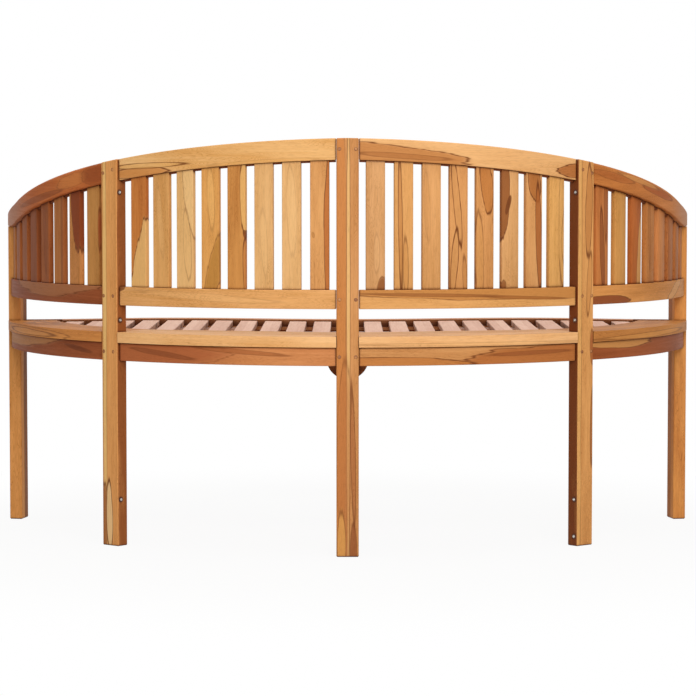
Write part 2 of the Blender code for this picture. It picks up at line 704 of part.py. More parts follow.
def build_aprons():
    """The aprons under the rim, dowelled to it."""
    for name, side in SIDES.items():
        for part, span in (("back", (0, SIDE_LEG_ANGLE)), ("arm", (SIDE_LEG_ANGLE, ARM_LEG_ANGLE))):
            node = f"apron_{part}_{name}"
            build_rail(node, side, part, lambda angle: APRON_BOTTOM, lambda angle: APRON_TOP, teak_rails)
            for share in APRON_DOWEL_SHARES:
                angle = span[0] + (span[1] - span[0]) * share
                point = on_arc(side, angle, RAIL_MIDDLE_RADIUS, RIM_BOTTOM)
                add_dowel(point, Vector((0, 0, 1)), node, f"rim_{part}_{name}")
        node = f"apron_front_{name}"
        back = RIM_OVERHANG + APRON_THICKNESS
        shape = front_board(side, RIM_OVERHANG, back, APRON_BOTTOM, APRON_TOP)
        make_part(node, [shape], teak_rails, RAIL_CHAMFER)
        middle = RIM_OVERHANG + APRON_THICKNESS / 2
        inner = face(front_leg[side], 0, 1)
        outer = face(arm_leg[side], 1, -1)
        for place, x, inset in ((inner, LEG_WIDTH / 2, PIN_INSET), (outer, front_half, 0)):
            point = Vector((side * x, front_line(x) + middle, 0))
            across = across_at_line(place, point, Vector((1, 0, 0)))
            tenon_joint(node, place, across, APRON_BOTTOM, APRON_TOP, inset)
        for share in APRON_DOWEL_SHARES:
            x = front_half * share
            point = Vector((side * x, front_line(x) + middle, RIM_BOTTOM))
            add_dowel(point, Vector((0, 0, 1)), node, f"rim_front_{name}")


def straight_board(x, y, z):
    """A straight board between two values on each axis."""
    return box(Matrix.Identity(4), (x[0], y[0], z[0]), (x[1], y[1], z[1]))


def build_cross_rails():
    """Rails from the rear legs to the front, which carry the battens of the seat."""
    half = APRON_THICKNESS / 2
    height = (APRON_BOTTOM, APRON_TOP)
    rear, front = face(centre_leg[1], 1, -1), face(front_leg[1], 1, -1)
    node = "cross_rail_centre"
    reach = (front.frame.translation.y - TENON_LENGTH, rear.frame.translation.y + TENON_LENGTH)
    make_part(node, [straight_board((-half, half), reach, height)], teak_inside, RAIL_CHAMFER)
    for place in (rear, front):
        tenon_joint(node, place, 0, *height)
    apron_back = RIM_OVERHANG + APRON_THICKNESS
    for name, side in SIDES.items():
        node = f"cross_rail_{name}"
        place = face(side_leg[side], 1, -1)
        start = place.frame.translation
        x = abs(start.x)
        reach = (front_line(x) + RIM_OVERHANG, start.y + LEG_DEPTH)
        rail = straight_board((side * x - half, side * x + half), reach, height)
        make_part(node, [rail], teak_inside, RAIL_CHAMFER)
        square_end(node, place)
        apron = f"apron_front_{name}"
        shoulder = front_board(side, -CUT_OVERRUN, apron_back + FIT_GAP, 0, BACK_HEIGHT)
        joinery[node]["shoulder"].append(shoulder)
        middle = (APRON_BOTTOM + APRON_TOP) / 2
        add_dowel(Vector((start.x, start.y, middle)), -place.frame.col[0].to_3d(), node, place.node)
        end = Vector((start.x, front_line(x) + apron_back, middle))
        add_dowel(end, Vector((0, -1, 0)), node, apron)


def build_brackets():
    """A quarter-round bracket on each side of the front leg, under the front apron."""
    leg = front_leg[1]
    back = leg.frame.translation.y + BRACKET_THICKNESS / 2
    centre = APRON_BOTTOM - BRACKET_DROP
    inner = LEG_WIDTH / 2 + FIT_GAP
    for name, side in SIDES.items():
        def place(along, across, up):
            turn = math.acos(inner / BRACKET_RADIUS) * (1 - along)
            x = BRACKET_RADIUS * math.cos(turn)
            low = centre - BRACKET_RADIUS * math.sin(turn)
            top = APRON_BOTTOM - FIT_GAP
            return Vector((side * x, back - BRACKET_THICKNESS * across, low + (top - low) * up))
        node = f"leg_bracket_{name}"
        make_part(node, [board(even(BRACKET_STEPS), place)], teak_inside)
        x = (inner + BRACKET_RADIUS) / 2
        point = Vector((side * x, leg.frame.translation.y, APRON_BOTTOM))
        add_dowel(point, Vector((0, 0, 1)), node, f"apron_front_{name}")


def screw(place, height):
    """A round-headed screw driven into a face: its head outside, its shank in the leg."""
    base = place.frame @ Vector((FIT_GAP, place.half - SCREW_INSET, height))
    inwards = -place.frame.col[0].to_3d()
    head = rod(base - inwards * SCREW_HEAD_HEIGHT, base, SCREW_HEAD_DIAMETER)

    def make(shape):
        head(shape)
        shape.faces.ensure_lookup_table()
        under = max(shape.faces[-ROD_SIDES - 2:], key=lambda cap: cap.normal @ inwards)
        rim = (SCREW_HEAD_DIAMETER - SCREW_SHANK_DIAMETER) / 2
        bmesh.ops.inset_region(shape, faces=[under], thickness=rim, use_even_offset=True)
        grown = bmesh.ops.extrude_face_region(shape, geom=[under])["geom"]
        corners = [item for item in grown if isinstance(item, bmesh.types.BMVert)]
        bmesh.ops.translate(shape, verts=corners, vec=inwards * SCREW_LENGTH)
        bmesh.ops.delete(shape, geom=[under], context="FACES_ONLY")
    hole = rod(base - inwards * CUT_OVERRUN, base + inwards * (SCREW_LENGTH + FIT_GAP),
               SCREW_SHANK_DIAMETER + 2 * FIT_GAP)
    return make, hole


def build_screws():
    """The screws in the side legs, numbered from the top."""
    upper = (crest(SIDE_LEG_ANGLE) - SCREW_BELOW_TOP, SEAT_HEIGHT + SCREW_ABOVE_SEAT)
    for name, side in SIDES.items():
        place = face(side_leg[side], 0, -1)
        for number, height in enumerate(upper + FOOT_SCREW_HEIGHTS[name], 1):
            make, hole = screw(place, height)
            make_part(f"leg_screw_{name}_{number}", [make], steel)
            joinery[place.node]["hole"].append(hole)


for old in list(bpy.data.objects):
    bpy.data.objects.remove(old)
parts_collection = bpy.data.collections.new("curved_garden_bench")
cutters_collection = bpy.data.collections.new("cutters")
for collection in (parts_collection, cutters_collection):
    bpy.context.scene.collection.children.link(collection)

teak_legs = finish("teak_legs", "C98D50", 0.5)
teak_rails = finish("teak_rails", "C48243", 0.5)
teak_slats = finish("teak_slats", "CF9558", 0.5)
teak_seat = finish("teak_seat", "D3A98A", 0.55)
teak_inside = finish("teak_inside", "8F5730", 0.6)
steel = finish("stainless_steel", "B9B6B0", 0.35, 1)

leg_radius = BACK_RADIUS - LEG_DEPTH / 2
arm_turn = ARM_LEG_ANGLE + ARM_LEG_TWIST
centre_leg = {s: post("rear_leg_centre", s, 0, leg_radius, 0) for s in SIDES.values()}
side_leg = {s: post(f"rear_leg_{n}", s, SIDE_LEG_ANGLE, leg_radius, SIDE_LEG_ANGLE) for n, s in SIDES.items()}
arm_leg = {s: post(f"arm_leg_{n}", s, ARM_LEG_ANGLE, ARM_LEG_RADIUS, arm_turn) for n, s in SIDES.items()}
arm_corner = arm_leg[1].frame @ Vector((LEG_WIDTH / 2, -LEG_DEPTH / 2, 0))
front_half = arm_corner.x
front_return = arm_corner.y - RIM_OVERHANG - FRONT_Y

front_leg = {}
for leg_side in SIDES.values():
    leg_frame = Matrix.Diagonal((leg_side, -1, 1, 1))
    leg_frame.translation = Vector((0, FRONT_Y + FRONT_DIP + RIM_OVERHANG + FRONT_LEG_DEPTH / 2, 0))
    front_leg[leg_side] = Post("front_leg", leg_frame, (LEG_WIDTH / 2, FRONT_LEG_DEPTH / 2))

build_legs()
build_back_rails()
build_back_slats()
build_rims()
build_seat_slats()
build_aprons()
build_cross_rails()
build_brackets()
build_screws()
work_joinery()
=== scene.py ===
# %% [markdown]
# # A curved garden bench in teak
#
# This lesson dresses the bench's exact model for a picture. The model gives every size and place in
# metres. Here the curved boards are made again with smooth faces and softly rounded edges, and every
# board gets its own teak.

# %% Load the exact model
import bpy
import math
from mathutils import Matrix, Vector


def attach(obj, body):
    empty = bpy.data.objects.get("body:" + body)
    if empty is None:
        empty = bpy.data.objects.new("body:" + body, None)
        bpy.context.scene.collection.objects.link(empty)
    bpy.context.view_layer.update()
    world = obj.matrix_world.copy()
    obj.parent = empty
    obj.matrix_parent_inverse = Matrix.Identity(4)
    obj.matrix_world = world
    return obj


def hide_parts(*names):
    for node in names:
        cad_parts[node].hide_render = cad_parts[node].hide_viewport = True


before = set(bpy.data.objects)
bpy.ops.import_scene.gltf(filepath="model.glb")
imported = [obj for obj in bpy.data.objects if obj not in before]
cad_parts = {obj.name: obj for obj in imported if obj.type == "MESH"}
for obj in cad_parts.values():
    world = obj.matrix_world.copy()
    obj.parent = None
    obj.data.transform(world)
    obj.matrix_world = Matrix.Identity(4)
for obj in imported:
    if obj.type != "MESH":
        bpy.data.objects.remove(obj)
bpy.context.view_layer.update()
print("pieces in the exact model:", len(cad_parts))

# %% [markdown]
# The back and arms follow one round arc. An angle is measured from the middle of the back, and
# `side` is 1 for the sitter's left, at +X, or -1 for the right. These sizes are those of the exact model.

# %% Sizes of the bench
BACK_RADIUS = 0.7662
ARC_CENTRE_Y = -0.3912
FRONT_Y = -0.375
SIDE_LEG_ANGLE = math.radians(40)
LEG_WIDTH = 0.045
LEG_DEPTH = 0.028
FRONT_LEG_DEPTH = 0.045
BACK_HEIGHT = 0.8423
BACK_RISE = 0.1449
TOP_RAIL_HEIGHT = 0.0436
LOW_RAIL = (0.4995, 0.538)
APRON = (0.385, 0.4222)
RIM = (0.4225, 0.4445)
LEDGE_TOP = 0.4292
RIM_WIDTHS = (0.155, 0.118, 0.105)
RAIL_RADII = (0.7382, 0.7602)
ARM_RAIL_RADII = (0.7372, 0.7650)
SLAT_RADIUS = 0.7492
RIM_RADIUS = math.hypot(BACK_RADIUS, LEG_WIDTH / 2)
FIT_GAP = 0.0003
CUT_OVERRUN = 0.05
SIDES = {"left": 1, "right": -1}

# The arm legs stand just inside the arc, and the arm rails and the rim reach past them
ARM_LEG_RADIUS = BACK_RADIUS - 0.021
ARM_LEG_FROM_FRONT = 0.0965
ARM_LEG_ANGLE = math.acos((FRONT_Y + ARM_LEG_FROM_FRONT - ARC_CENTRE_Y) / ARM_LEG_RADIUS)
ARM_LEG_TURN = ARM_LEG_ANGLE + math.radians(20.7)
ARM_END_ANGLE = ARM_LEG_ANGLE + 0.0695 / BACK_RADIUS
RIM_END_ANGLE = ARM_LEG_ANGLE + 0.0094 / BACK_RADIUS
print("angle of the arm legs:", round(math.degrees(ARM_LEG_ANGLE), 1))


# %% Places on the arc
def on_arc(side, angle, radius, height=0):
    """The point at an angle from the middle of the back, at a radius from the arc's centre."""
    return Vector((side * radius * math.sin(angle), ARC_CENTRE_Y + radius * math.cos(angle), height))


def angle_of(point):
    """The angle of a point from the middle of the back."""
    return math.atan2(abs(point.x), point.y - ARC_CENTRE_Y)


# %% The line of the top edge
SWEEP_START = BACK_RADIUS * ARM_END_ANGLE - 0.202
SWEEP_RADIUS = 0.37
CREST_RADIUS = 3.69
CREST_SLOPE = 0.0157


def crest_drop(angle):
    """How far the top edge has dropped at an angle: an arc, then a sweep out level along the arm."""
    run = BACK_RADIUS * abs(angle)
    fall = min(run, SWEEP_START)
    slope = CREST_SLOPE + SWEEP_START / CREST_RADIUS
    sweep = min(max(run - SWEEP_START, 0), slope * SWEEP_RADIUS)
    drop = CREST_SLOPE * fall + fall ** 2 / (2 * CREST_RADIUS)
    return drop + slope * sweep - sweep ** 2 / (2 * SWEEP_RADIUS)


def crest(angle):
    """Height of the top edge of the back and arms."""
    return BACK_HEIGHT - BACK_RISE * crest_drop(angle) / crest_drop(ARM_END_ANGLE)


def underside(angle):
    """Height of the underside of the top rail and the arm rail."""
    return crest(angle) - TOP_RAIL_HEIGHT


NOSE_DROP = 0.023
NOSE_LENGTH = 0.155
NOSE_POWER = 1.3


def nose_top(angle):
    """Height of the arm rail's top, which is rounded down at its end."""
    share = max(1 - BACK_RADIUS * (ARM_END_ANGLE - angle) / NOSE_LENGTH, 0)
    return crest(angle) - NOSE_DROP * min(share, 1) ** NOSE_POWER


print("top edge at the side legs:", round(crest(SIDE_LEG_ANGLE), 4))

# %% [markdown]
# Each leg has its own axes: along the arc, outwards, and up. A side face of a leg is where the rails
# end, so its plane is needed for sawing them off.


# %% Legs and their faces
def leg_axes(side, angle, radius, turn):
    """The axes of a leg at its middle line, as a matrix."""
    along = Vector((side * math.cos(turn), -math.sin(turn), 0))
    out = Vector((side * math.sin(turn), math.cos(turn), 0))
    axes = Matrix((along, out, Vector((0, 0, 1)))).transposed().to_4x4()
    axes.translation = on_arc(side, angle, radius)
    return axes


def side_face(leg, sign):
    """A side face of a leg: its middle on the floor and the way it looks."""
    normal = leg.col[0].to_3d() * sign
    return leg.translation + normal * LEG_WIDTH / 2, normal


leg_radius = BACK_RADIUS - LEG_DEPTH / 2
centre_leg = {side: leg_axes(side, 0, leg_radius, 0) for side in (1, -1)}
side_leg = {side: leg_axes(side, SIDE_LEG_ANGLE, leg_radius, SIDE_LEG_ANGLE) for side in (1, -1)}
arm_leg = {side: leg_axes(side, ARM_LEG_ANGLE, ARM_LEG_RADIUS, ARM_LEG_TURN) for side in (1, -1)}
print("left arm leg stands at", [round(v, 3) for v in arm_leg[1].translation])

# %% [markdown]
# The camera stands straight behind the bench, a little above the seat, far away and with a long lens.
# Its place was fitted to the legs, feet and slats, whose sizes are known.

# %% Camera
camera = bpy.data.objects.new("camera", bpy.data.cameras.new("camera"))
bpy.context.scene.collection.objects.link(camera)
camera.location = (0, 6.079, 0.7758)
camera.rotation_euler = (math.radians(86.451), 0, math.radians(180))
camera.data.lens = 147.4
camera.data.sensor_width = 36
camera.data.shift_x = 0.0006
bpy.context.scene.camera = camera
bpy.context.scene.view_settings.view_transform = "Standard"
print("camera", round((camera.location - Vector((0, 0, 0.42))).length, 2), "m from the bench's middle")

# %% [markdown]
# Modelling helpers come next, each a thing that a maker does at the bench: saw a board to the arc, saw
# off an end, cut a notch, ease the edges.


# %% Modelling helpers
def select_only(piece):
    """Leave one piece selected and active."""
    bpy.ops.object.select_all(action="DESELECT")
    piece.select_set(True)
    bpy.context.view_layer.objects.active = piece


def apply_modifier(piece, kind, **settings):
    """Add a modifier with its settings and apply it."""
    select_only(piece)
    modifier = piece.modifiers.new(kind.lower(), kind)
    for setting, value in settings.items():
        setattr(modifier, setting, value)
    bpy.ops.object.modifier_apply(modifier=modifier.name)


def named(piece, name):
    """Name a piece and its mesh."""
    piece.name = name
    piece.data.name = name
    return piece


def new_shape(name, add, **settings):
    """A new piece, added by a mesh operator while nothing else is selected."""
    bpy.ops.object.select_all(action="DESELECT")
    add(**settings)
    return named(bpy.context.active_object, name)


def open_mesh():
    """Start to edit the active piece's mesh."""
    bpy.ops.object.mode_set(mode="EDIT")


def close_mesh():
    """Leave the mesh again."""
    bpy.ops.object.mode_set(mode="OBJECT")


def choose_by(kind):
    """Choose nothing of a mesh, so that its corners, edges or faces can then be chosen."""
    open_mesh()
    bpy.ops.mesh.select_all(action="DESELECT")
    bpy.ops.mesh.select_mode(type=kind)
    close_mesh()


def tidy_faces():
    """Merge doubles and turn every face outwards."""
    open_mesh()
    bpy.ops.mesh.select_all(action="SELECT")
    bpy.ops.mesh.remove_doubles(threshold=1e-6)
    bpy.ops.mesh.normals_make_consistent(inside=False)
    close_mesh()


def spun_board(name, side, span, radii, heights, steps, end_steps=0, end_run=0, round_top=0):
    """A board sawn to the arc: its section, spun about the arc's centre, more finely near its end."""
    start, end = span
    middle = on_arc(side, start, sum(radii) / 2, sum(heights) / 2)
    facing = math.atan2(math.cos(start), side * math.sin(start))
    piece = new_shape(name, bpy.ops.mesh.primitive_plane_add, size=1, location=middle,
                      rotation=(math.pi / 2, 0, facing))
    piece.scale = (radii[1] - radii[0], heights[1] - heights[0], 1)
    bpy.ops.object.transform_apply()
    if round_top:
        choose_by("VERT")
        for corner in piece.data.vertices:
            radius = math.hypot(corner.co.x, corner.co.y - ARC_CENTRE_Y)
            corner.select = corner.co.z > middle.z and radius > sum(radii) / 2
        open_mesh()
        bpy.ops.mesh.bevel(offset=round_top, segments=6, affect="VERTICES")
    open_mesh()
    bpy.ops.mesh.select_mode(type="FACE")
    bpy.ops.mesh.select_all(action="SELECT")
    end_turn = end_run / BACK_RADIUS
    for count, turn in ((steps, end - start - end_turn), (end_steps, end_turn)):
        if count:
            bpy.ops.mesh.spin(steps=count, angle=turn, center=(0, ARC_CENTRE_Y, 0), axis=(0, 0, side))
    tidy_faces()
    return piece


def shaped_board(name, steps, place):
    """A squared board cut into steps, each corner then put where place says, from shares 0 to 1."""
    piece = new_shape(name, bpy.ops.mesh.primitive_cube_add, size=1, location=(0.5, 0.5, 0.5))
    bpy.ops.object.transform_apply()
    choose_by("EDGE")
    for edge in piece.data.edges:
        start, end = (piece.data.vertices[number].co for number in edge.vertices)
        edge.select = abs(start.x - end.x) > 0.5
    open_mesh()
    bpy.ops.mesh.subdivide(number_cuts=steps - 1)
    close_mesh()
    for corner in piece.data.vertices:
        corner.co = place(*corner.co)
    tidy_faces()
    return piece


def saw_off(piece, point, outwards):
    """Saw off what lies beyond a plane, and close the end."""
    select_only(piece)
    open_mesh()
    bpy.ops.mesh.select_all(action="SELECT")
    bpy.ops.mesh.bisect(plane_co=point, plane_no=outwards, clear_outer=True, use_fill=True)
    close_mesh()


def saw_short(piece, *faces):
    """Saw a board off just short of the faces of the legs that it meets."""
    for point, normal in faces:
        saw_off(piece, point + normal * FIT_GAP, -normal)


def cut_away(piece, *cutters):
    """Cut the shapes of other pieces out of a piece, and throw the cutters away."""
    for cutter in cutters:
        apply_modifier(piece, "BOOLEAN", operation="DIFFERENCE", object=cutter, solver="EXACT")
        bpy.data.objects.remove(cutter)


def ease_edges(piece, width=0.0018, segments=3):
    """Round the edges of a piece."""
    apply_modifier(piece, "BEVEL", width=width, segments=segments, limit_method="ANGLE",
                   angle_limit=math.radians(40))


def even_shading(piece):
    """Smooth the curved faces and keep the flat ones flat."""
    select_only(piece)
    bpy.ops.object.shade_smooth_by_angle(angle=math.radians(38))
    apply_modifier(piece, "WEIGHTED_NORMAL", keep_sharp=True)


def place_mesh(piece, axes):
    """Put a mesh at its place, with its faces still outwards where the axes are mirrored."""
    piece.data.transform(axes)
    if axes.determinant() < 0:
        piece.data.flip_normals()


def cutter_box(axes, low, high):
    """A box between two corners, given in a leg's axes, to cut with."""
    cutter = new_shape("cutter", bpy.ops.mesh.primitive_cube_add, size=1)
    low, high = Vector(low), Vector(high)
    size = high - low
    place_mesh(cutter, axes @ Matrix.Translation((low + high) / 2) @ Matrix.Diagonal((*size, 1)))
    return cutter


# %% [markdown]
# The rails are sawn from thick planks, so the curve is in the wood and nothing is bent. A section is
# spun about the arc's centre, its corners are lifted to the crest line, and its ends are sawn on the
# faces of the legs. A bevel of three steps gives the soft edges of sanded teak.

# %% Rails of the back and arms
RAIL_STEPS = 40
ARM_TOP_ROUND = 0.007
ARM_EASING = 0.0045
ARM_TENON = ((-0.0133, -0.0057), (0.0133, 0.0083))
ARM_TENON_HEIGHT = 0.0225
FLAT = (0.1, 0.1 + TOP_RAIL_HEIGHT)
made = []


def lift(piece, heights, low, high):
    """Move each corner of a level board so that its faces follow two lines, low and high."""
    for corner in piece.data.vertices:
        share = (corner.co.z - heights[0]) / (heights[1] - heights[0])
        angle = angle_of(corner.co)
        corner.co.z = low(angle) + (high(angle) - low(angle)) * share


def finish_board(piece, *nodes, width=0.0018):
    """Ease a board's edges, shade it and let it stand for its nodes in the exact model."""
    ease_edges(piece, width)
    hand_over(piece, *nodes)


def hand_over(piece, *nodes):
    """Shade a piece, and let it stand for nodes of the exact model and ride on its body."""
    even_shading(piece)
    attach(piece, "root")
    if nodes:
        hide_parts(*nodes)
    made.append(piece)


for name, side in SIDES.items():
    back_ends = (side_face(centre_leg[side], 1), side_face(side_leg[side], -1))
    arm_ends = (side_face(side_leg[side], 1), side_face(arm_leg[side], -1))
    rail = spun_board(f"top_rail_{name}.board", side, (0, SIDE_LEG_ANGLE), RAIL_RADII, FLAT, RAIL_STEPS)
    lift(rail, FLAT, underside, crest)
    saw_short(rail, *back_ends)
    finish_board(rail, f"top_rail_{name}")

    rail = spun_board(f"arm_rail_{name}.board", side, (SIDE_LEG_ANGLE, ARM_END_ANGLE), ARM_RAIL_RADII,
                      FLAT, RAIL_STEPS, RAIL_STEPS, NOSE_LENGTH, ARM_TOP_ROUND)
    lift(rail, FLAT, underside, nose_top)
    ease_edges(rail, ARM_EASING, 4)
    saw_short(rail, arm_ends[0])
    base = underside(ARM_LEG_ANGLE)
    low_corner, high_corner = (*ARM_TENON[0], base - CUT_OVERRUN), (*ARM_TENON[1], base + ARM_TENON_HEIGHT)
    cut_away(rail, cutter_box(arm_leg[side], low_corner, high_corner))
    hand_over(rail, f"arm_rail_{name}")

    for part, span, ends in (("back", (0, SIDE_LEG_ANGLE), back_ends),
                             ("side", (SIDE_LEG_ANGLE, ARM_LEG_ANGLE), arm_ends)):
        apron = f"apron_{'arm' if part == 'side' else part}_{name}"
        for node, heights in ((f"{part}_rail_{name}", LOW_RAIL), (apron, APRON)):
            rail = spun_board(f"{node}.board", side, span, RAIL_RADII, heights, RAIL_STEPS)
            saw_short(rail, *ends)
            finish_board(rail, node)
print("rails and aprons:", [piece.name for piece in made])

# %% [markdown]
# The seat's rim is wider in the middle of the back than at the arms. Its outer edge keeps the arc, so
# the corners of a squared board are put on the arc outside and on the rim's inner line inside. A ledge
# under the inner edge carries the ends of the seat slats.

# %% Front line of the seat
arm_corner = arm_leg[1] @ Vector((LEG_WIDTH / 2, -LEG_DEPTH / 2, 0))
FRONT_HALF = arm_corner.x
FRONT_INSET = 0.006
FRONT_RETURN = arm_corner.y - FRONT_INSET - FRONT_Y
FRONT_LOBE_X = 0.400
FRONT_DIP = 0.060
FRONT_STEPS = 64
RIM_STEPS = 44
RIM_WIDTH_FRONT = 0.050
LEDGE = 0.014
LEDGE_CUT = 0.06
FRONT_APRON = (FRONT_INSET, FRONT_INSET + 0.022)


def front_line(x):
    """The front edge of the seat: a dip in the middle, a lobe on each side, back at the arms."""
    x = abs(x)
    if x < FRONT_LOBE_X:
        return FRONT_Y + FRONT_DIP * (1 + math.cos(math.pi * x / FRONT_LOBE_X)) / 2
    share = min((x - FRONT_LOBE_X) / (FRONT_HALF - FRONT_LOBE_X), 1)
    return FRONT_Y + FRONT_RETURN * (1 - math.cos(math.pi * share)) / 2


def front_board(name, side, front, back, low, high):
    """A board along the seat's front edge, from front to back behind that line."""
    reach = FRONT_HALF + LEG_DEPTH

    def place(along, across, up):
        x = reach * along
        return Vector((side * x, front_line(x) + front + (back - front) * across, low + (high - low) * up))
    return shaped_board(name, FRONT_STEPS, place)


def rim_edges(part, share):
    """The rim's inner and outer edge at a share of a part's length."""
    centre_width, side_width, end_width = RIM_WIDTHS
    if part == "arm":
        angle = SIDE_LEG_ANGLE + (RIM_END_ANGLE - SIDE_LEG_ANGLE) * share
        width = side_width + (end_width - side_width) * share
        return on_arc(1, angle, RIM_RADIUS - width), on_arc(1, angle, RIM_RADIUS)
    middle = on_arc(1, 0, RIM_RADIUS - centre_width)
    end = on_arc(1, SIDE_LEG_ANGLE, RIM_RADIUS - side_width)
    return middle.lerp(end, share), on_arc(1, SIDE_LEG_ANGLE * share, RIM_RADIUS)


def rim_board(name, side, part, inner_reach, low, high):
    """A board of the rim, from inner_reach inside its inner edge to the arc."""
    def place(along, across, up):
        inner, outer = rim_edges(part, along)
        near = inner + (inner - outer).normalized() * inner_reach
        point = near.lerp(outer, across)
        return Vector((side * point.x, point.y, low + (high - low) * up))
    return shaped_board(name, RIM_STEPS, place)


def ledge_cutter(side, part):
    """What is cut from the top of a rim board's inner edge to leave the ledge."""
    def place(along, across, up):
        # The cutter reaches 3 percent past each end of the board
        inner, outer = rim_edges(part, along * 1.06 - 0.03)
        near = inner + (inner - outer).normalized() * LEDGE_CUT
        point = near.lerp(inner, across)
        return Vector((side * point.x, point.y, LEDGE_TOP + LEDGE_CUT * up))
    return shaped_board("cutter", RIM_STEPS, place)


def leg_notch(leg, onwards=0.0):
    """Room for a leg in a rim board, open to the outside."""
    wide, deep = LEG_WIDTH / 2 + FIT_GAP, LEG_DEPTH / 2 + FIT_GAP
    return cutter_box(leg, (-wide, -deep, 0), (wide + onwards, CUT_OVERRUN, 1))


def saw_at_middle(piece, side, gap):
    """Saw a board off short of the middle of the bench, by a gap."""
    saw_off(piece, Vector((side * gap, 0, 0)), Vector((-side, 0, 0)))


# %% Rim boards
for name, side in SIDES.items():
    inwards = -arm_leg[side].col[1].to_3d()
    arm_leg_face = arm_leg[side].translation + inwards * (LEG_DEPTH / 2 + FIT_GAP)
    board = rim_board(f"rim_back_{name}.board", side, "back", LEDGE, *RIM)
    cut_away(board, ledge_cutter(side, "back"))
    saw_at_middle(board, side, FIT_GAP / 2)
    joint_way = leg_axes(side, SIDE_LEG_ANGLE, RIM_RADIUS, SIDE_LEG_ANGLE).col[0].to_3d()
    joint = on_arc(side, SIDE_LEG_ANGLE, RIM_RADIUS)
    saw_off(board, joint - joint_way * FIT_GAP / 2, joint_way)
    ease_edges(board)
    cut_away(board, leg_notch(centre_leg[side]), leg_notch(side_leg[side]))
    hand_over(board, f"rim_back_{name}")

    board = rim_board(f"rim_arm_{name}.board", side, "arm", LEDGE, *RIM)
    cut_away(board, ledge_cutter(side, "arm"))
    saw_off(board, joint + joint_way * FIT_GAP / 2, -joint_way)
    cut_away(board, front_board("cutter", side, -CUT_OVERRUN, RIM_WIDTH_FRONT + FIT_GAP, 0, 1))
    ease_edges(board)
    cut_away(board, leg_notch(side_leg[side]), leg_notch(arm_leg[side], CUT_OVERRUN))
    hand_over(board, f"rim_arm_{name}")

    board = front_board(f"rim_front_{name}.board", side, 0, RIM_WIDTH_FRONT + LEDGE, *RIM)
    cut_away(board, front_board("cutter", side, RIM_WIDTH_FRONT, RIM_WIDTH_FRONT + LEDGE_CUT, LEDGE_TOP, 1))
    cut_away(board, rim_board("cutter", side, "arm", LEDGE + FIT_GAP, 0, 1))
    saw_at_middle(board, side, FIT_GAP / 2)
    saw_off(board, arm_leg_face, -inwards)
    ease_edges(board)
    hand_over(board, f"rim_front_{name}")

    board = front_board(f"apron_front_{name}.board", side, *FRONT_APRON, *APRON)
    saw_at_middle(board, side, LEG_WIDTH / 2 + FIT_GAP)
    saw_off(board, arm_leg_face, -inwards)
    finish_board(board, f"apron_front_{name}")
print("rim and front boards:", [piece.name for piece in made[-8:]])

# %% [markdown]
# All slats have one section, 38.5 by 12 mm. One is modelled, with rounded long edges, and copied. Each
# copy is stood at its place between the rails, and its head is cut to the slope of the rail above.

# %% Slats
SLAT_COUNT = 8
SLAT_WIDTH = 0.0385
SLAT_THICKNESS = 0.012
SLAT_EASING = 0.0016
SLAT_HALF_LENGTH = 0.1
SLAT_TUCK = 0.0004
BACK_SLAT_ENDS = (0.0570, 0.0716)
ARM_SLAT_ENDS = (0.0610, 0.0500)
slat = new_shape("slat", bpy.ops.mesh.primitive_cube_add, size=1)
slat.data.transform(Matrix.Diagonal((SLAT_WIDTH, SLAT_THICKNESS, 2 * SLAT_HALF_LENGTH, 1)))
ease_edges(slat, SLAT_EASING)
even_shading(slat)


def slat_angles(start, end, first, last):
    """Angles of the slats between two legs: first and last are measured from the legs' middles."""
    low, high = start + first / BACK_RADIUS, end - last / BACK_RADIUS
    return [low + (high - low) * number / (SLAT_COUNT - 1) for number in range(SLAT_COUNT)]


def copy_of(master, name):
    """A copy of a finished piece, with its own mesh."""
    piece = bpy.data.objects.new(name, master.data.copy())
    bpy.context.scene.collection.objects.link(piece)
    return piece


def stand_slat(name, side, angle, node):
    """A copy of the slat, stood between the lower rail and the rail above."""
    piece = copy_of(slat, name)
    axes = leg_axes(side, angle, SLAT_RADIUS, angle)
    for corner in piece.data.vertices:
        top = corner.co.z > 0
        spot = axes @ Vector((corner.co.x, corner.co.y, 0))
        end = underside(angle_of(spot)) + SLAT_TUCK if top else LOW_RAIL[1] - SLAT_TUCK
        spot.z = end + corner.co.z + (-SLAT_HALF_LENGTH if top else SLAT_HALF_LENGTH)
        corner.co = spot
    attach(piece, "root")
    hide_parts(node)
    made.append(piece)


back_angles = slat_angles(0, SIDE_LEG_ANGLE, *BACK_SLAT_ENDS)
arm_angles = slat_angles(SIDE_LEG_ANGLE, ARM_LEG_ANGLE, *ARM_SLAT_ENDS)
for name, side in SIDES.items():
    for number, angle in enumerate(back_angles, 1):
        stand_slat(f"back_slat_{name}_{number}.board", side, angle, f"back_slat_{name}_{number}")
    for number, angle in enumerate(arm_angles, 1):
        stand_slat(f"arm_slat_{name}_{number}.board", side, angle, f"arm_slats_{name}")
bpy.data.objects.remove(slat)
print("slats:", sum("slat_" in piece.name for piece in made))

# %% [markdown]
# The heads of the slats stand in a groove of the rail above. Small fillets close the groove between
# them. Their dark tone is partly painted shade of the recess, so they show as dark dashes under the rail.
# Each is a short board sawn to the arc, and all fillets of a rail are joined into one piece.


# %% Fillets between the slats' heads
def join_pieces(name, pieces):
    """Join pieces into one."""
    select_only(pieces[0])
    for piece in pieces:
        piece.select_set(True)
    bpy.ops.object.join()
    return named(bpy.context.active_object, name)


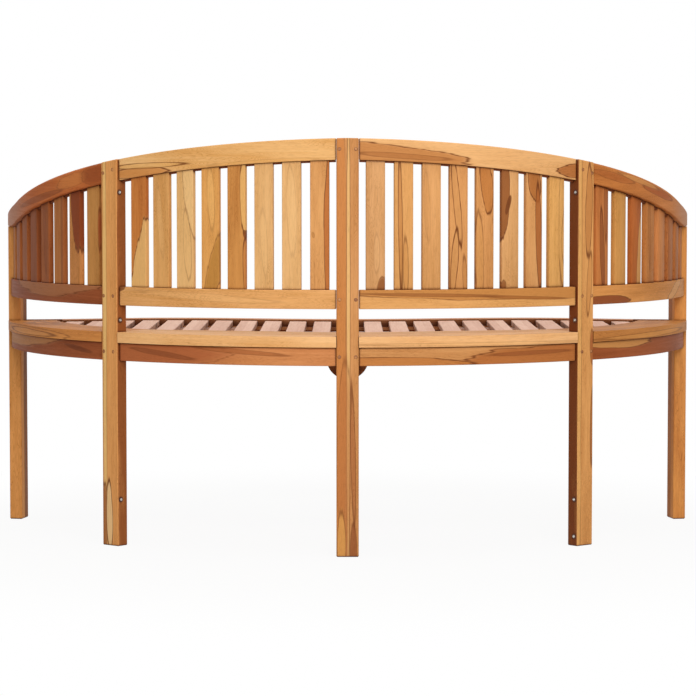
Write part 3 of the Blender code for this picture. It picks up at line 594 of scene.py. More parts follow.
FILLET_RADII = (SLAT_RADIUS - 0.003, SLAT_RADIUS + 0.003)
FILLET_DROP = 0.0044
FILLET_EASING = 0.0006
half_slat = 0.0195 / BACK_RADIUS
half_leg = 0.0240 / BACK_RADIUS
for name, side in SIDES.items():
    for part, angles, ends in (("back", back_angles, (0, SIDE_LEG_ANGLE)),
                               ("arm", arm_angles, (SIDE_LEG_ANGLE, ARM_LEG_ANGLE))):
        starts = [ends[0] + half_leg] + [angle + half_slat for angle in angles]
        stops = [angle - half_slat for angle in angles] + [ends[1] - half_leg]
        level = (0.1, 0.106)
        pieces = []
        for start, stop in zip(starts, stops):
            piece = spun_board("fillet", side, (start, stop), FILLET_RADII, level, 4)
            lift(piece, level, lambda angle: underside(angle) - FILLET_DROP,
                 lambda angle: underside(angle) + SLAT_TUCK)
            ease_edges(piece, FILLET_EASING, 2)
            pieces.append(piece)
        hand_over(join_pieces(f"slat_fillets_{part}_{name}", pieces))
print("fillets:", [piece.name for piece in made[-4:]])

# %% [markdown]
# Every tenon is locked by a round pin driven through the leg. The rails of the exact model hold these
# pins, so they are made again here: a turned rod with an eased end, copied to each joint of a leg.

# %% Pins
PIN_RADIUS = 0.0037
PIN_EASING = 0.0013
PIN_LENGTH = 0.012
PIN_SUNK = 0.0001
PIN_INSET = 0.006
CORNER_PIN_INSET = 0.012
FRONT_LEG_FROM_FRONT = 0.066
FRONT_LEG_Y = FRONT_Y + FRONT_LEG_FROM_FRONT + FRONT_LEG_DEPTH / 2
pin = new_shape("pin", bpy.ops.mesh.primitive_cylinder_add, vertices=20, radius=PIN_RADIUS,
                depth=PIN_LENGTH)
ease_edges(pin, PIN_EASING, 2)


def copy_to(master, axes):
    """A copy of a finished small piece, put at its place."""
    piece = copy_of(master, "copy")
    place_mesh(piece, axes)
    return piece


def pins_at(leg, sign, heights, inset=PIN_INSET, depth=LEG_DEPTH):
    """Pins at some heights in the outer face of a leg, beside one of its side faces."""
    across = sign * (LEG_WIDTH / 2 - inset)
    turn = leg.to_3x3().to_4x4() @ Matrix.Rotation(math.radians(90), 4, "X")
    spots = [leg @ Vector((across, depth / 2 - PIN_LENGTH / 2 - PIN_SUNK, height)) for height in heights]
    return [copy_to(pin, Matrix.Translation(spot) @ turn) for spot in spots]


def top_middle(leg, sign):
    """The height of the middle of the top rail where it meets a leg."""
    return crest(angle_of(side_face(leg, sign)[0])) - TOP_RAIL_HEIGHT / 2


tenon_heights = [sum(LOW_RAIL) / 2, sum(APRON) / 2]
pins = {"centre": [], "front": []}
for name, side in SIDES.items():
    centre, corner = centre_leg[side], side_leg[side]
    pins["centre"] += pins_at(centre, 1, [top_middle(centre, 1)] + tenon_heights)
    pins[name] = pins_at(corner, -1, [top_middle(corner, -1)] + tenon_heights, CORNER_PIN_INSET)
    pins[name] += pins_at(corner, 1, [top_middle(corner, 1)] + tenon_heights)
    pins[f"arm_{name}"] = pins_at(arm_leg[side], -1, tenon_heights)
    front = Matrix.Diagonal((side, -1, 1, 1))
    front.translation = Vector((0, FRONT_LEG_Y, 0))
    pins["front"] += pins_at(front, 1, tenon_heights[1:], depth=FRONT_LEG_DEPTH)
for name, pieces in pins.items():
    hand_over(join_pieces(f"leg_pins_{name}", pieces))
bpy.data.objects.remove(pin)
print("pins:", {name: len(pieces) for name, pieces in pins.items()})

# %% [markdown]
# Stainless screws with low round heads hold the side legs. One is turned from a cylinder: its top edge
# is rounded, and a round socket is sunk in by an inset and an extrusion.

# %% Screws
HEAD_RADIUS = 0.0030
HEAD_HEIGHT = 0.0022
HEAD_ROUNDING = 0.0010
SOCKET_WALL = 0.0018
SOCKET_DEPTH = 0.0014
HOLE_EDGE = 0.0026
HOLE_EDGE_AT = (0.0043, 0, -0.0005)
SCREW_BELOW_CREST = 0.065
SCREW_ABOVE_SEAT = 0.0245
FOOT_SCREWS = {"left": (0.097,), "right": (0.097, 0.020)}
SCREW_FROM_FACE = 0.008
screw = new_shape("screw", bpy.ops.mesh.primitive_cylinder_add, vertices=32, radius=HEAD_RADIUS,
                  depth=HEAD_HEIGHT, location=(0, 0, HEAD_HEIGHT / 2))
bpy.ops.object.transform_apply()
choose_by("FACE")
for cap in screw.data.polygons:
    cap.select = cap.normal.z > 0.9
open_mesh()
bpy.ops.mesh.inset(thickness=SOCKET_WALL)
bpy.ops.mesh.extrude_region()
bpy.ops.transform.translate(value=(0, 0, -SOCKET_DEPTH))
close_mesh()
ease_edges(screw, HEAD_ROUNDING, 3)

# A dark ring round each screw head is painted shade, the shadow in the drilled hole round the head.
# It is spun from a small square section
countersink = new_shape("countersink", bpy.ops.mesh.primitive_plane_add, size=HOLE_EDGE,
                        location=HOLE_EDGE_AT, rotation=(math.pi / 2, 0, 0))
bpy.ops.object.transform_apply()
open_mesh()
bpy.ops.mesh.select_all(action="SELECT")
bpy.ops.mesh.spin(steps=32, angle=2 * math.pi, center=(0, 0, 0), axis=(0, 0, 1))
tidy_faces()

screw_heights = (crest(SIDE_LEG_ANGLE) - SCREW_BELOW_CREST, RIM[1] + SCREW_ABOVE_SEAT)
for name, side in SIDES.items():
    point, normal = side_face(side_leg[side], -1)
    out = side_leg[side].col[1].to_3d()
    spot = point + out * (LEG_DEPTH / 2 - SCREW_FROM_FACE) + normal * FIT_GAP
    facing = normal.to_track_quat("Z", "Y").to_matrix().to_4x4()
    for number, height in enumerate(screw_heights + FOOT_SCREWS[name], 1):
        spot.z = height
        head = copy_to(screw, Matrix.Translation(spot) @ facing)
        hand_over(named(head, f"leg_screw_{name}_{number}.head"), f"leg_screw_{name}_{number}")
        ring_copy = copy_to(countersink, Matrix.Translation(spot) @ facing)
        hand_over(named(ring_copy, f"countersink_{name}_{number}"))
bpy.data.objects.remove(screw)
bpy.data.objects.remove(countersink)
print("screws:", sum("screw" in piece.name for piece in made))

# %% [markdown]
# Two quarter-round brackets fill the corners between the front leg and its aprons.

# %% Brackets
BRACKET_RADIUS = 0.047
BRACKET_THICKNESS = 0.022
BRACKET_STRAIGHT = 0.0265
BRACKET_STEPS = 16
bracket_back = FRONT_LEG_Y + BRACKET_THICKNESS / 2
bracket_inner = LEG_WIDTH / 2 + FIT_GAP
for name, side in SIDES.items():
    def place(along, across, up, side=side):
        turn = math.acos(bracket_inner / BRACKET_RADIUS) * (1 - along)
        low = APRON[0] - BRACKET_STRAIGHT - BRACKET_RADIUS * math.sin(turn)
        x = BRACKET_RADIUS * math.cos(turn)
        y = bracket_back - BRACKET_THICKNESS * across
        return Vector((side * x, y, low + (APRON[0] - FIT_GAP - low) * up))
    bracket = shaped_board(f"leg_bracket_{name}.board", BRACKET_STEPS, place)
    finish_board(bracket, f"leg_bracket_{name}", width=0.0015)
print("brackets:", [piece.name for piece in made[-2:]])

# %% [markdown]
# A finish is a graph of nodes. Its colours are written as the eye reads them, in hex, and one function
# turns them to the linear values that light works with.


# %% Finish helpers
def linear(hex_code):
    """Turn an sRGB hex colour into linear values."""
    parts = [int(hex_code[i:i + 2], 16) / 255 for i in (0, 2, 4)]
    return [c / 12.92 if c <= 0.04045 else ((c + 0.055) / 1.055) ** 2.4 for c in parts] + [1]


def feed(tree, value, socket):
    """Give an input its value: the output of a node, a hex colour, or numbers."""
    if isinstance(value, bpy.types.NodeSocket):
        tree.links.new(value, socket)
    else:
        socket.default_value = linear(value) if isinstance(value, str) else value


def add_node(tree, kind, inputs=None, **settings):
    """Add a shader node, with its settings and what its inputs are given, and return its outputs."""
    node = tree.nodes.new("ShaderNode" + kind)
    for setting, value in settings.items():
        setattr(node, setting, value)
    for socket, value in (inputs or {}).items():
        feed(tree, value, node.inputs[socket])
    return node.outputs


def maths(tree, operation, *inputs):
    """The result of a sum on sockets and numbers."""
    return add_node(tree, "Math", dict(enumerate(inputs)), operation=operation)[0]


def length(tree, vector):
    """The length of a vector."""
    return add_node(tree, "VectorMath", {0: vector}, operation="LENGTH")["Value"]


def spread(tree, source, low, high, first=0.0, last=1.0, shape="LINEAR"):
    """What lies between low and high, spread between first and last."""
    return add_node(tree, "MapRange", {0: source, 1: low, 2: high, 3: first, 4: last},
                    interpolation_type=shape)[0]


def mixed_colour(tree, share, first, second):
    """A colour between two, each a hex code or a socket: share is a socket from 0 to 1."""
    return add_node(tree, "Mix", {0: share, 6: first, 7: second}, data_type="RGBA",
                    clamp_factor=True)[2]


def new_finish(name):
    """An empty material and its shader."""
    material = bpy.data.materials.new(name)
    material.use_nodes = True
    return material, material.node_tree, material.node_tree.nodes["Principled BSDF"]


def lay(tree, shader, colour, rough, height=None, strength=0.3, distance=0.0004):
    """Give a shader its colour, its roughness and its relief."""
    feed(tree, colour, shader.inputs["Base Color"])
    feed(tree, rough, shader.inputs["Roughness"])
    if height is not None:
        relief = {"Strength": strength, "Distance": distance, "Height": height}
        feed(tree, add_node(tree, "Bump", relief)[0], shader.inputs["Normal"])


def dress(piece, material):
    """Give a new piece one material and no other."""
    piece.data.materials.clear()
    piece.data.materials.append(material)


# %% [markdown]
# Teak is a straight-grained golden brown wood. Its annual rings show as fine dark lines, which run
# straight along a board or close into long pointed loops where the saw met them flat. Short dark
# pores lie along the grain, and the heart of the tree is redder than the wood near the bark.
#
# The pattern needs three directions: along the grain, across the face, and into the board. On the
# round boards, the first is the run along the arc. An upright board has its grain along z.


# %% Directions of a board
def board_directions(tree, grain):
    """A vector of metres along the grain, across the face and into the board."""
    place = add_node(tree, "TexCoord")["Object"]
    x, y, z = add_node(tree, "SeparateXYZ", {0: place})
    if grain == "deep":
        order = (y, x, z)
    elif grain == "front":
        order = (x, z, y)
    else:
        back = maths(tree, "SUBTRACT", y, ARC_CENTRE_Y)
        run = maths(tree, "MULTIPLY", maths(tree, "ARCTAN2", x, back), BACK_RADIUS)
        radius = length(tree, add_node(tree, "CombineXYZ", {0: x, 1: back})[0])
        order = (z, run, radius) if grain == "upright" else (run, z, radius)
    return add_node(tree, "CombineXYZ", dict(enumerate(order)))[0]


# %% [markdown]
# The rings of a board are contour lines of one long ellipse, whose middle lies far outside the board,
# so they come out almost straight. An ellipse is given by its middle, its half length and half width,
# in metres, and its tilt. `patches` are ellipses in another tone, such as a piece of heart wood, a pale
# stripe of sapwood or a strip of painted shade on a leg's side face, and slow noise makes their borders
# wander.

# %% Teak
RING_ELLIPSE = (0.0, 0.9, 3.0, 0.35, 0.0)
RING_GAP_MM = 6.5
RING_STRENGTH = 0.5
PATCH_WANDER = (0.8, 0.35)
OUTLINE_MM = 1.2
OUTLINE_COLOUR = "6E3A1A"
PORE_COLOUR = "4A2410"
# The colour of painted shade in joints, gaps and inner corners
PAINTED_SHADE_COLOUR = "4A180A"


def grain_noise(tree, board, features, seed, detail=2.0):
    """Noise stretched along the grain: features are its lengths along, across and into the board, in mm."""
    scale = [1000 / size for size in features]
    place = (seed * 3.7, seed * 1.9, seed)
    spot = add_node(tree, "Mapping", {"Location": place, "Scale": scale, "Vector": board})[0]
    noise = {"Scale": 1, "Detail": detail, "Roughness": 0.55, "Vector": spot}
    return add_node(tree, "TexNoise", noise)[0]


def ellipse(tree, board, shape, wobbles):
    """How many half sizes a point lies from the middle of an ellipse, its border moved by noises."""
    along, across, half_length, half_width, tilt = shape
    spot = add_node(tree, "Mapping", {
        "Location": (along, across, 0), "Rotation": (0, 0, math.radians(tilt)),
        "Scale": (half_length, half_width, 1), "Vector": board}, vector_type="TEXTURE")[0]
    flat = add_node(tree, "VectorMath", {0: spot, 1: (1, 1, 0)}, operation="MULTIPLY")[0]
    far = length(tree, flat)
    for noise, amount in wobbles:
        far = maths(tree, "MULTIPLY_ADD", noise, amount, far)
    return far


def painted_shade_in_corners(tree, reach):
    """A mask of painted shade in the joints, gaps and inner corners, from ambient occlusion, as far out as
    reach in metres.
    """
    corner = add_node(tree, "AmbientOcclusion", {"Distance": reach}, samples=4)["AO"]
    return spread(tree, corner, 0.95, 0.35, 0.0, 0.92)


def tip_to_tip(along, across, end_along, end_across, half_width):
    """An ellipse from one tip to the other, from mm along and across the grain."""
    run, rise = end_along - along, end_across - across
    middle = ((along + end_along) / 2000, (across + end_across) / 2000)
    return (*middle, math.hypot(run, rise) / 2000, half_width / 1000, math.degrees(math.atan2(rise, run)))


def teak(name, grain, tones, patches, seed, reach):
    """Sanded teak with a thin matt sealer: a light and a dark tone, rings, and patches in other tones."""
    material, tree, shader = new_finish(name)
    board = board_directions(tree, grain)
    drift = grain_noise(tree, board, (240, 34, 60), seed)
    streak = grain_noise(tree, board, (110, 4.2, 9), seed + 5)
    pores = grain_noise(tree, board, (16, 0.9, 1.4), seed + 9, 1.0)
    far = ellipse(tree, board, RING_ELLIPSE, ((drift, 0.9), (streak, 0.10)))
    ring = maths(tree, "FRACT", maths(tree, "MULTIPLY", far, RING_ELLIPSE[3] * 1000 / RING_GAP_MM))
    clear = spread(tree, drift, 0.40, 0.62)
    ring = maths(tree, "MULTIPLY", maths(tree, "POWER", ring, 5.0), clear)
    tone = maths(tree, "MULTIPLY_ADD", ring, RING_STRENGTH, -0.72)
    for noise, amount in ((drift, 1.30), (streak, 0.85), (pores, 0.20)):
        tone = maths(tree, "MULTIPLY_ADD", noise, amount, tone)
    colour = mixed_colour(tree, tone, *tones)
    for *tips, half_width, hex_code, strength, softness, outline in patches:
        # Both noises average one half, so the border lies at 1 plus half of their sum
        edge = ellipse(tree, board, tip_to_tip(*tips, half_width), zip((drift, streak), PATCH_WANDER))
        edge = maths(tree, "SUBTRACT", edge, 1 + sum(PATCH_WANDER) / 2)
        if strength:
            mask = spread(tree, edge, softness, -softness, 0.0, strength, "SMOOTHSTEP")
            colour = mixed_colour(tree, mask, colour, hex_code)
        if outline:
            width = min(OUTLINE_MM / half_width, 0.5)
            edge = maths(tree, "ABSOLUTE", edge)
            line = spread(tree, edge, width, 0.0, 0.0, min(outline * 1.5, 1), "SMOOTHSTEP")
            colour = mixed_colour(tree, line, colour, OUTLINE_COLOUR)
    line = spread(tree, ring, 0.15, 0.9, 1.0, 1 - RING_STRENGTH * 0.5)
    depth = maths(tree, "MULTIPLY", line, spread(tree, pores, 0.50, 0.78, 1.0, 0.80))
    colour = mixed_colour(tree, maths(tree, "SUBTRACT", 1.0, depth), colour, PORE_COLOUR)
    # Painted shade darkens the joints, gaps and inner corners
    colour = mixed_colour(tree, painted_shade_in_corners(tree, reach), colour, PAINTED_SHADE_COLOUR)
    lay(tree, shader, colour, spread(tree, streak, 0.2, 0.8, 0.46, 0.62), depth, 0.35)
    shader.inputs["IOR"].default_value = 1.48
    shader.inputs["Specular IOR Level"].default_value = 0.1
    return material


# %% [markdown]
# Every board is named with its own light and dark tone, and the slats have theirs in order from the
# middle of the back or from the side leg. A tone is what the eye sees on that board in soft light. A
# name stands for all the boards whose names start with it.

# %% Tones of the boards
TONES = {
    "top_rail_left": "EBBC80 D59A55", "top_rail_right": "EAB67C D2985C", "arm_rail_left": "CC743A A65426",
    "arm_rail_right": "D28444 AE662E", "back_rail_left": "E8AE72 CE9250",
    "back_rail_right": "E2A868 CC9050", "side_rail_left": "A05630 80401E",
    "side_rail_right": "E09A56 BE7C3E", "rim_back_left": "F0BE86 DCA060", "rim_back_right": "EEBA82 D89C60",
    "rim_arm_left": "DE9650 BE783C", "rim_arm_right": "CE8A46 B07038", "rim_front": "D69462 B87448",
    # The dark red tone of the front aprons is partly painted shade: they are seen in the shade under the
    # seat
    "apron_front": "B8623C 8E4426", "apron_back_left": "D8925C B8723E", "apron_back_right": "D49A60 BC7E46",
    # The fillets' dark tone is partly painted shade of their recess under the rail
    "apron_arm_left": "A65C36 86441F", "apron_arm_right": "A65A30 84441E", "slat_fillets": "8A4E2C 6A3418",
    "rear_leg_centre": "D49860 B67840", "rear_leg_left": "E4A462 CC8A4C", "rear_leg_right": "E2A462 C4864A",
    "arm_leg_left": "EAA864 C6803C", "arm_leg_right": "E8A258 C0763A", "front_leg": "CE9C6C B07E50",
    # The dark tones of the brackets and the cross rails are partly painted shade under the seat
    "leg_bracket": "A06034 784020", "cross_rail": "A45C38 7C4024",
}
SLAT_TONES = {
    "back_slat_left": (
        "DEA466 C4864C", "E4B47A CE9A5E", "E2B278 CC985C", "D29450 B47438", "E4A860 CA8C48",
        "E6B87C D0A062", "DEA868 C88E4E", "CE8442 AC602A"),
    "back_slat_right": (
        "DCA670 C08A54", "DEA464 C28648", "DAA066 C0864A", "D89A5E BC7E44", "DC9E62 C08248",
        "DEA870 C68E54", "DAA066 BE824A", "E4AC68 CA924E"),
    # The darker tones of the left arm's slats 3 to 7 are partly painted shade, for slats that stand in
    # shade
    "arm_slat_left": (
        "CA9050 AE7438", "D8945A B8783E", "C07C44 A05E2C", "AC6434 8A4A24", "96522C 78401E",
        "AC6434 8A4A24", "AC6434 8A4A24", "C27C44 98562A"),
    "arm_slat_right": (
        "CE8246 A66030", "D69A56 BA803E", "BE6C36 9E5628", "CE8A4E B06E38", "D08850 AE6C38",
        "C27C44 98562A", "C27C44 98562A", "C27C44 98562A"),
}
for start, pairs in SLAT_TONES.items():
    for number, pair in enumerate(pairs, 1):
        TONES[f"{start}_{number}"] = pair
print("tones:", len(TONES))

# %% [markdown]
# The photograph shows where the saw met the heart wood: dark pointed patches with a brown outline, pale
# stripes of sapwood, small knots. The long strips without an outline on the side legs and the arm legs
# are painted shade, on the faces that look towards the middle. Each patch is given from tip to tip, in
# mm along and across the grain, then its half width, its colour, its strength, how soft its border is,
# and how dark its outline is. On an upright board, along is the height and across is the run along the
# arc. On a round board it is the other way about.

# %% Figures of the boards
PATCHES = {
    "top_rail_left": [
        (385, 778, 545, 767, 9, "C68040", 0.8, 0.25, 0.6),
        (330, 792, 530, 783, 5, "DCA55C", 0.4, 0.3, 0.6),
        (60, 800, 300, 786, 6, "D89E56", 0.5, 0.4, 0.15),
    ],
    "top_rail_right": [
        (90, 824, -242, 793, 21, "BA783E", 0.85, 0.12, 0.6),
        (-30, 812, -200, 800, 5, "9E5E2C", 0.5, 0.4, 0.3),
        (-458, 777, -575, 775, 15, "AC6632", 0.9, 0.12, 0.85),
    ],
    "arm_rail_left": [
        (600, 768, 710, 744, 13, "CC7E42", 0.7, 0.4, 0.2),
        (530, 776, 618, 764, 20, "8C4420", 0.75, 0.4, 0.3),
        (700, 735, 900, 700, 6, "7E4020", 0.6, 0.4, 0.3),
        (900, 700, 1200, 700, 60, "AC8068", 0.6, 0.5, 0.0),
    ],
    "arm_rail_right": [
        (-735, 745, -880, 716, 8, "A04E26", 0.7, 0.3, 0.4),
        (-540, 780, -690, 752, 8, "A85C2C", 0.6, 0.4, 0.3),
        (-640, 772, -800, 738, 5, "D09052", 0.7, 0.3, 0.3),
        (-940, 700, -1200, 700, 60, "BC8A68", 0.6, 0.5, 0.0),
    ],
    "back_rail_left": [
        (478, 531, 150, 513, 8, "E4AE70", 0.5, 0.5, 0.12),
        (497, 538, 535, 528, 6, "74401F", 0.9, 0.3, 0.5),
    ],
    "back_rail_right": [
        (60, 538, -640, 526, 16, "BC7C3E", 0.85, 0.12, 0.45),
        (-40, 530, -310, 524, 3, "94582A", 0.7, 0.3, 0.3),
        (-290, 522, -475, 515, 3, "985A2A", 0.7, 0.3, 0.3),
    ],
    "side_rail_left": [(575, 549, 960, 545, 36, "A86C44", 0.85, 0.10, 0.6)],
    "side_rail_right": [
        (-525, 505, -682, 506, 11, "864222", 0.9, 0.12, 0.6),
        (-880, 500, -1010, 548, 12, "D8A068", 0.7, 0.15, 0.5),
    ],
    "rim_arm_left": [
        (736, 430, 1010, 434, 7, "D0945A", 0.4, 0.3, 0.5),
        (680, 430, 1080, 434, 13, "C88C54", 0.0, 0.3, 0.35),
    ],
    "rim_arm_right": [(-560, 427, -960, 432, 5, "D89850", 0.4, 0.3, 0.35)],
    "rim_back_right": [(-20, 428, -520, 426, 3, "E4B070", 0.3, 0.3, 0.2)],
    "apron_back_left": [
        (255, 402, 700, 402, 36, "A45832", 0.85, 0.35, 0.3),
        (130, 406, 310, 418, 4, "A45E32", 0.7, 0.4, 0.3),
        (330, 395, 470, 412, 5, "6E3A20", 0.5, 0.5, 0.3),
    ],
    "apron_back_right": [
        (-225, 390, -680, 400, 26, "AC6430", 0.85, 0.12, 0.6),
        (90, 390, -270, 386, 15, "B87236", 0.8, 0.12, 0.6),
        (-300, 404, -500, 408, 4, "8A4A26", 0.6, 0.4, 0.3),
    ],
    "apron_arm_left": [
        (695, 427, 1120, 410, 21, "BC8250", 0.85, 0.18, 0.6),
        (600, 400, 690, 412, 5, "5E2E18", 0.6, 0.4, 0.3),
    ],
    "apron_arm_right": [(-490, 426, -775, 418, 14, "CC9050", 0.85, 0.12, 0.6)],
    "back_slat_left_8": [(700, 430, 440, 478, 22, "DFAE6C", 0.95, 0.10, 0.7)],
    "back_slat_left_7": [(760, 415, 600, 400, 8, "E2B072", 0.4, 0.4, 0.1)],
    "back_slat_left_6": [
        (825, 348, 635, 320, 16, "EAC084", 0.6, 0.15, 0.4),
        (700, 345, 560, 338, 9, "E0B070", 0.3, 0.2, 0.25),
    ],
    "back_slat_left_5": [
        (655, 262, 495, 297, 15, "B07A36", 0.8, 0.25, 0.4),
        (790, 290, 650, 284, 8, "ECB870", 0.4, 0.3, 0.2),
    ],
    "back_slat_left_4": [
        (815, 213, 636, 206, 13, "E0AC66", 0.85, 0.12, 0.75),
        (656, 214, 638, 208, 4, "80461F", 1.0, 0.4, 0.6),
        (640, 210, 495, 204, 9, "BE7A3E", 0.8, 0.2, 0.65),
    ],
    "back_slat_left_3": [(700, 176, 560, 168, 7, "EABC80", 0.3, 0.4, 0.12)],
    "back_slat_left_2": [(790, 118, 610, 112, 9, "EABC80", 0.3, 0.4, 0.12)],
    "back_slat_left_1": [
        (840, 35, 490, 38, 11, "B46830", 0.9, 0.12, 0.65),
        (653, 71, 643, 69, 2.5, "B0743A", 0.6, 0.5, 0.2),
    ],
    "back_slat_right_1": [
        (650, -59, 572, -59, 6, "E2B07A", 0.3, 0.3, 0.15),
        (562, -73, 526, -65, 8, "8A4E24", 0.85, 0.35, 0.4),
    ],
    "back_slat_right_2": [
        (800, -106, 545, -110, 4, "B4743A", 0.6, 0.3, 0.6),
        (640, -118, 530, -120, 5, "C88A4A", 0.5, 0.3, 0.4),
    ],
    "back_slat_right_3": [(780, -160, 640, -166, 6, "C08448", 0.4, 0.4, 0.12)],
    "back_slat_right_4": [
        (810, -216, 640, -234, 7, "C48A50", 0.5, 0.2, 0.75),
        (650, -226, 520, -216, 7, "C48A50", 0.5, 0.2, 0.75),
        (600, -243, 520, -246, 4, "B87A40", 0.5, 0.3, 0.4),
    ],
    "back_slat_right_5": [
        (815, -283, 688, -300, 14, "B67034", 0.75, 0.12, 0.65),
        (700, -275, 500, -279, 9, "CC9050", 0.5, 0.2, 0.4),
    ],
    "back_slat_right_6": [
        (810, -330, 650, -329, 14, "8C5024", 0.92, 0.10, 0.75),
        (724, -347, 692, -338, 4, "74401E", 1.0, 0.35, 0.6),
        (555, -333, 530, -331, 6, "8A4E24", 0.85, 0.35, 0.4),
    ],
    "back_slat_right_7": [
        (800, -400, 712, -409, 14, "A6622C", 0.8, 0.12, 0.65),
        (750, -412, 545, -421, 7, "A45C2A", 0.85, 0.12, 0.7),
    ],
    "back_slat_right_8": [
        (800, -481, 545, -478, 11, "DCA45E", 0.3, 0.15, 0.45),
        (700, -484, 590, -482, 7, "DCA45E", 0.2, 0.15, 0.35),
    ],
    "arm_slat_left_1": [(710, 570, 585, 568, 10, "A6502A", 0.85, 0.25, 0.4)],
    "arm_slat_left_2": [(830, 659, 595, 647, 21, "843C1C", 0.95, 0.10, 0.75)],
    "arm_slat_left_3": [(820, 704, 490, 706, 7, "8A4A28", 0.6, 0.3, 0.4)],
    "arm_slat_left_4": [(760, 792, 560, 780, 6, "8A4A28", 0.5, 0.3, 0.5)],
    "arm_slat_right_1": [
        (700, -592, 530, -600, 6, "804424", 0.7, 0.2, 0.65),
        (770, -606, 640, -608, 5, "8E4E28", 0.6, 0.3, 0.5),
    ],
    "arm_slat_right_3": [(700, -745, 440, -729, 13, "D49C5A", 0.85, 0.15, 0.6)],
    "arm_slat_right_4": [(740, -778, 560, -784, 5, "A0622E", 0.5, 0.3, 0.4)],
    # Painted shade on the face of each arm leg that looks towards the middle
    "arm_leg_left": [(-400, 1096, 1300, 1096, 18, "6E3A20", 0.75, 0.15, 0.0)],
    "arm_leg_right": [(-400, -1096, 1300, -1096, 18, "8A4A2A", 0.6, 0.15, 0.0)],
    "rear_leg_centre": [
        (-200, 15, 1000, 14, 11, "C27A3E", 0.8, 0.18, 0.2),
        (-200, -1, 1000, -2, 3.5, "E2B272", 0.85, 0.3, 0.45),
        (-60, 8, 400, 6, 13, "B06A38", 0.6, 0.3, 0.3),
        (60, -14, 330, -9, 5, "9E5A30", 0.6, 0.3, 0.5),
        (-60, 13, 95, 12, 9, "D29650", 0.85, 0.2, 0.4),
        (-60, -13, 70, -12, 7, "8C4C28", 0.8, 0.2, 0.4),
    ],
    "rear_leg_left": [
        (-200, 563, 1000, 563, 8, "B47C38", 0.7, 0.15, 0.3),
        (-200, 549, 1000, 548, 5, "E8BE78", 0.8, 0.3, 0.3),
        # Painted shade on the side face that looks towards the middle
        (-400, 510, 1300, 510, 3.2, "8A4A22", 0.9, 0.2, 0.0),
        (-40, 560, 130, 552, 12, "96542A", 0.85, 0.2, 0.5),
        (-10, 535, 130, 538, 8, "E6C08A", 0.85, 0.15, 0.65),
    ],
    "rear_leg_right": [
        (-200, -517, 1000, -518, 6, "E2AC66", 0.6, 0.2, 0.35),
        # Painted shade on the side face that looks towards the middle
        (-400, -510, 1300, -510, 3.2, "6E3618", 0.95, 0.2, 0.0),
        (790, -545, 610, -540, 9, "B4723A", 0.6, 0.2, 0.6),
        (600, -548, 480, -540, 6, "BC7C40", 0.5, 0.2, 0.5),
        (445, -553, 375, -556, 7, "964C24", 0.8, 0.3, 0.4),
        (330, -556, 170, -553, 5, "8E4E26", 0.7, 0.2, 0.5),
    ],
}


# %% Give every board its teak
SEED_STEP = 1.37
# How far the painted shade in corners reaches: at joints, on the front boards and brackets, and on the
# cross rails
JOINT_REACH = 0.0055
FRONT_REACH = 0.060
CROSS_REACH = 0.040


def own_teak(name, grain, seed, reach):
    """The teak of one board: its tones are those of the name that its own starts with."""
    tones = next(pair for start, pair in TONES.items() if name.startswith(start))
    return teak(f"teak_{name}", grain, tones.split(), PATCHES.get(name, ()), seed, reach)


finished = 0
for number, piece in enumerate(made):
    name = piece.name.split(".")[0]
    if "screw" in name or "pins" in name or "countersink" in name:
        continue
    grain = "upright" if "slat_" in name and "fillets" not in name else "round"
    reach = JOINT_REACH
    if "front" in name or "bracket" in name:
        grain, reach = "front", FRONT_REACH
    dress(piece, own_teak(name, grain, number * SEED_STEP, reach))
    "teak_slats" if "slat_" in name else "teak_seat" if "rim" in name else "teak_rails"
    finished += 1
print("boards with their own teak:", finished)

# %% Legs and cross rails of the exact model
for number, (name, node) in enumerate(sorted(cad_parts.items())):
    if node.hide_render or "seat_slats" in name:
        continue
    grain, reach = ("deep", CROSS_REACH) if "cross_rail" in name else ("upright", JOINT_REACH)
    material = own_teak(name, grain, 60 + number * SEED_STEP, reach)
    for slot in node.material_slots:
        slot.material = material
    print(name, end=" ")

# %% [markdown]
# The seat slats lie front to back, 55.2 mm apart. A hundred slats would not need a hundred materials:
# the number of a slat comes from its place across the seat, and white noise turns that number into a
# tone.

# %% Seat slats
SEAT_SLAT_PITCH = 0.0552
material, tree, shader = new_finish("teak_seat_slats")
board = board_directions(tree, "deep")
across = add_node(tree, "SeparateXYZ", {0: board})[1]
number = maths(tree, "SNAP", across, SEAT_SLAT_PITCH)
chance = add_node(tree, "TexWhiteNoise", {"W": number}, noise_dimensions="1D")["Value"]
drift = grain_noise(tree, board, (200, 30, 60), 31)
streak = grain_noise(tree, board, (90, 3.5, 9), 37)
pores = grain_noise(tree, board, (16, 0.9, 1.4), 41, 1.0)
tone = maths(tree, "MULTIPLY_ADD", chance, 0.55, -0.55)
for noise, amount in ((drift, 0.8), (streak, 0.7), (pores, 0.3)):
    tone = maths(tree, "MULTIPLY_ADD", noise, amount, tone)
# The pale pink of these tones is partly painted sheen: the grazing reflection of white surroundings on the
# seat's tops, laid over the teak's own colour
colour = mixed_colour(tree, tone, "FFD2B8", "E0AC90")
# Painted shade darkens the slats' sides and what shows through the gaps between them
colour = mixed_colour(tree, painted_shade_in_corners(tree, 0.024), colour, "521A0C")
lay(tree, shader, colour, spread(tree, streak, 0.2, 0.8, 0.44, 0.6), tone)
shader.inputs["Specular IOR Level"].default_value = 0.2
for name in ("seat_slats_left", "seat_slats_middle", "seat_slats_right"):
    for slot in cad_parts[name].material_slots:
        slot.material = material
print("finish:", material.name)

# %% [markdown]
# The pins show their end grain: many tiny pores in a disc, darker than the face of a board.
# The dark ring round each screw head is painted shade, the shadow in the drilled hole round the head.
# Painted shade also darkens the eased edge of each pin, where it sits in its hole.


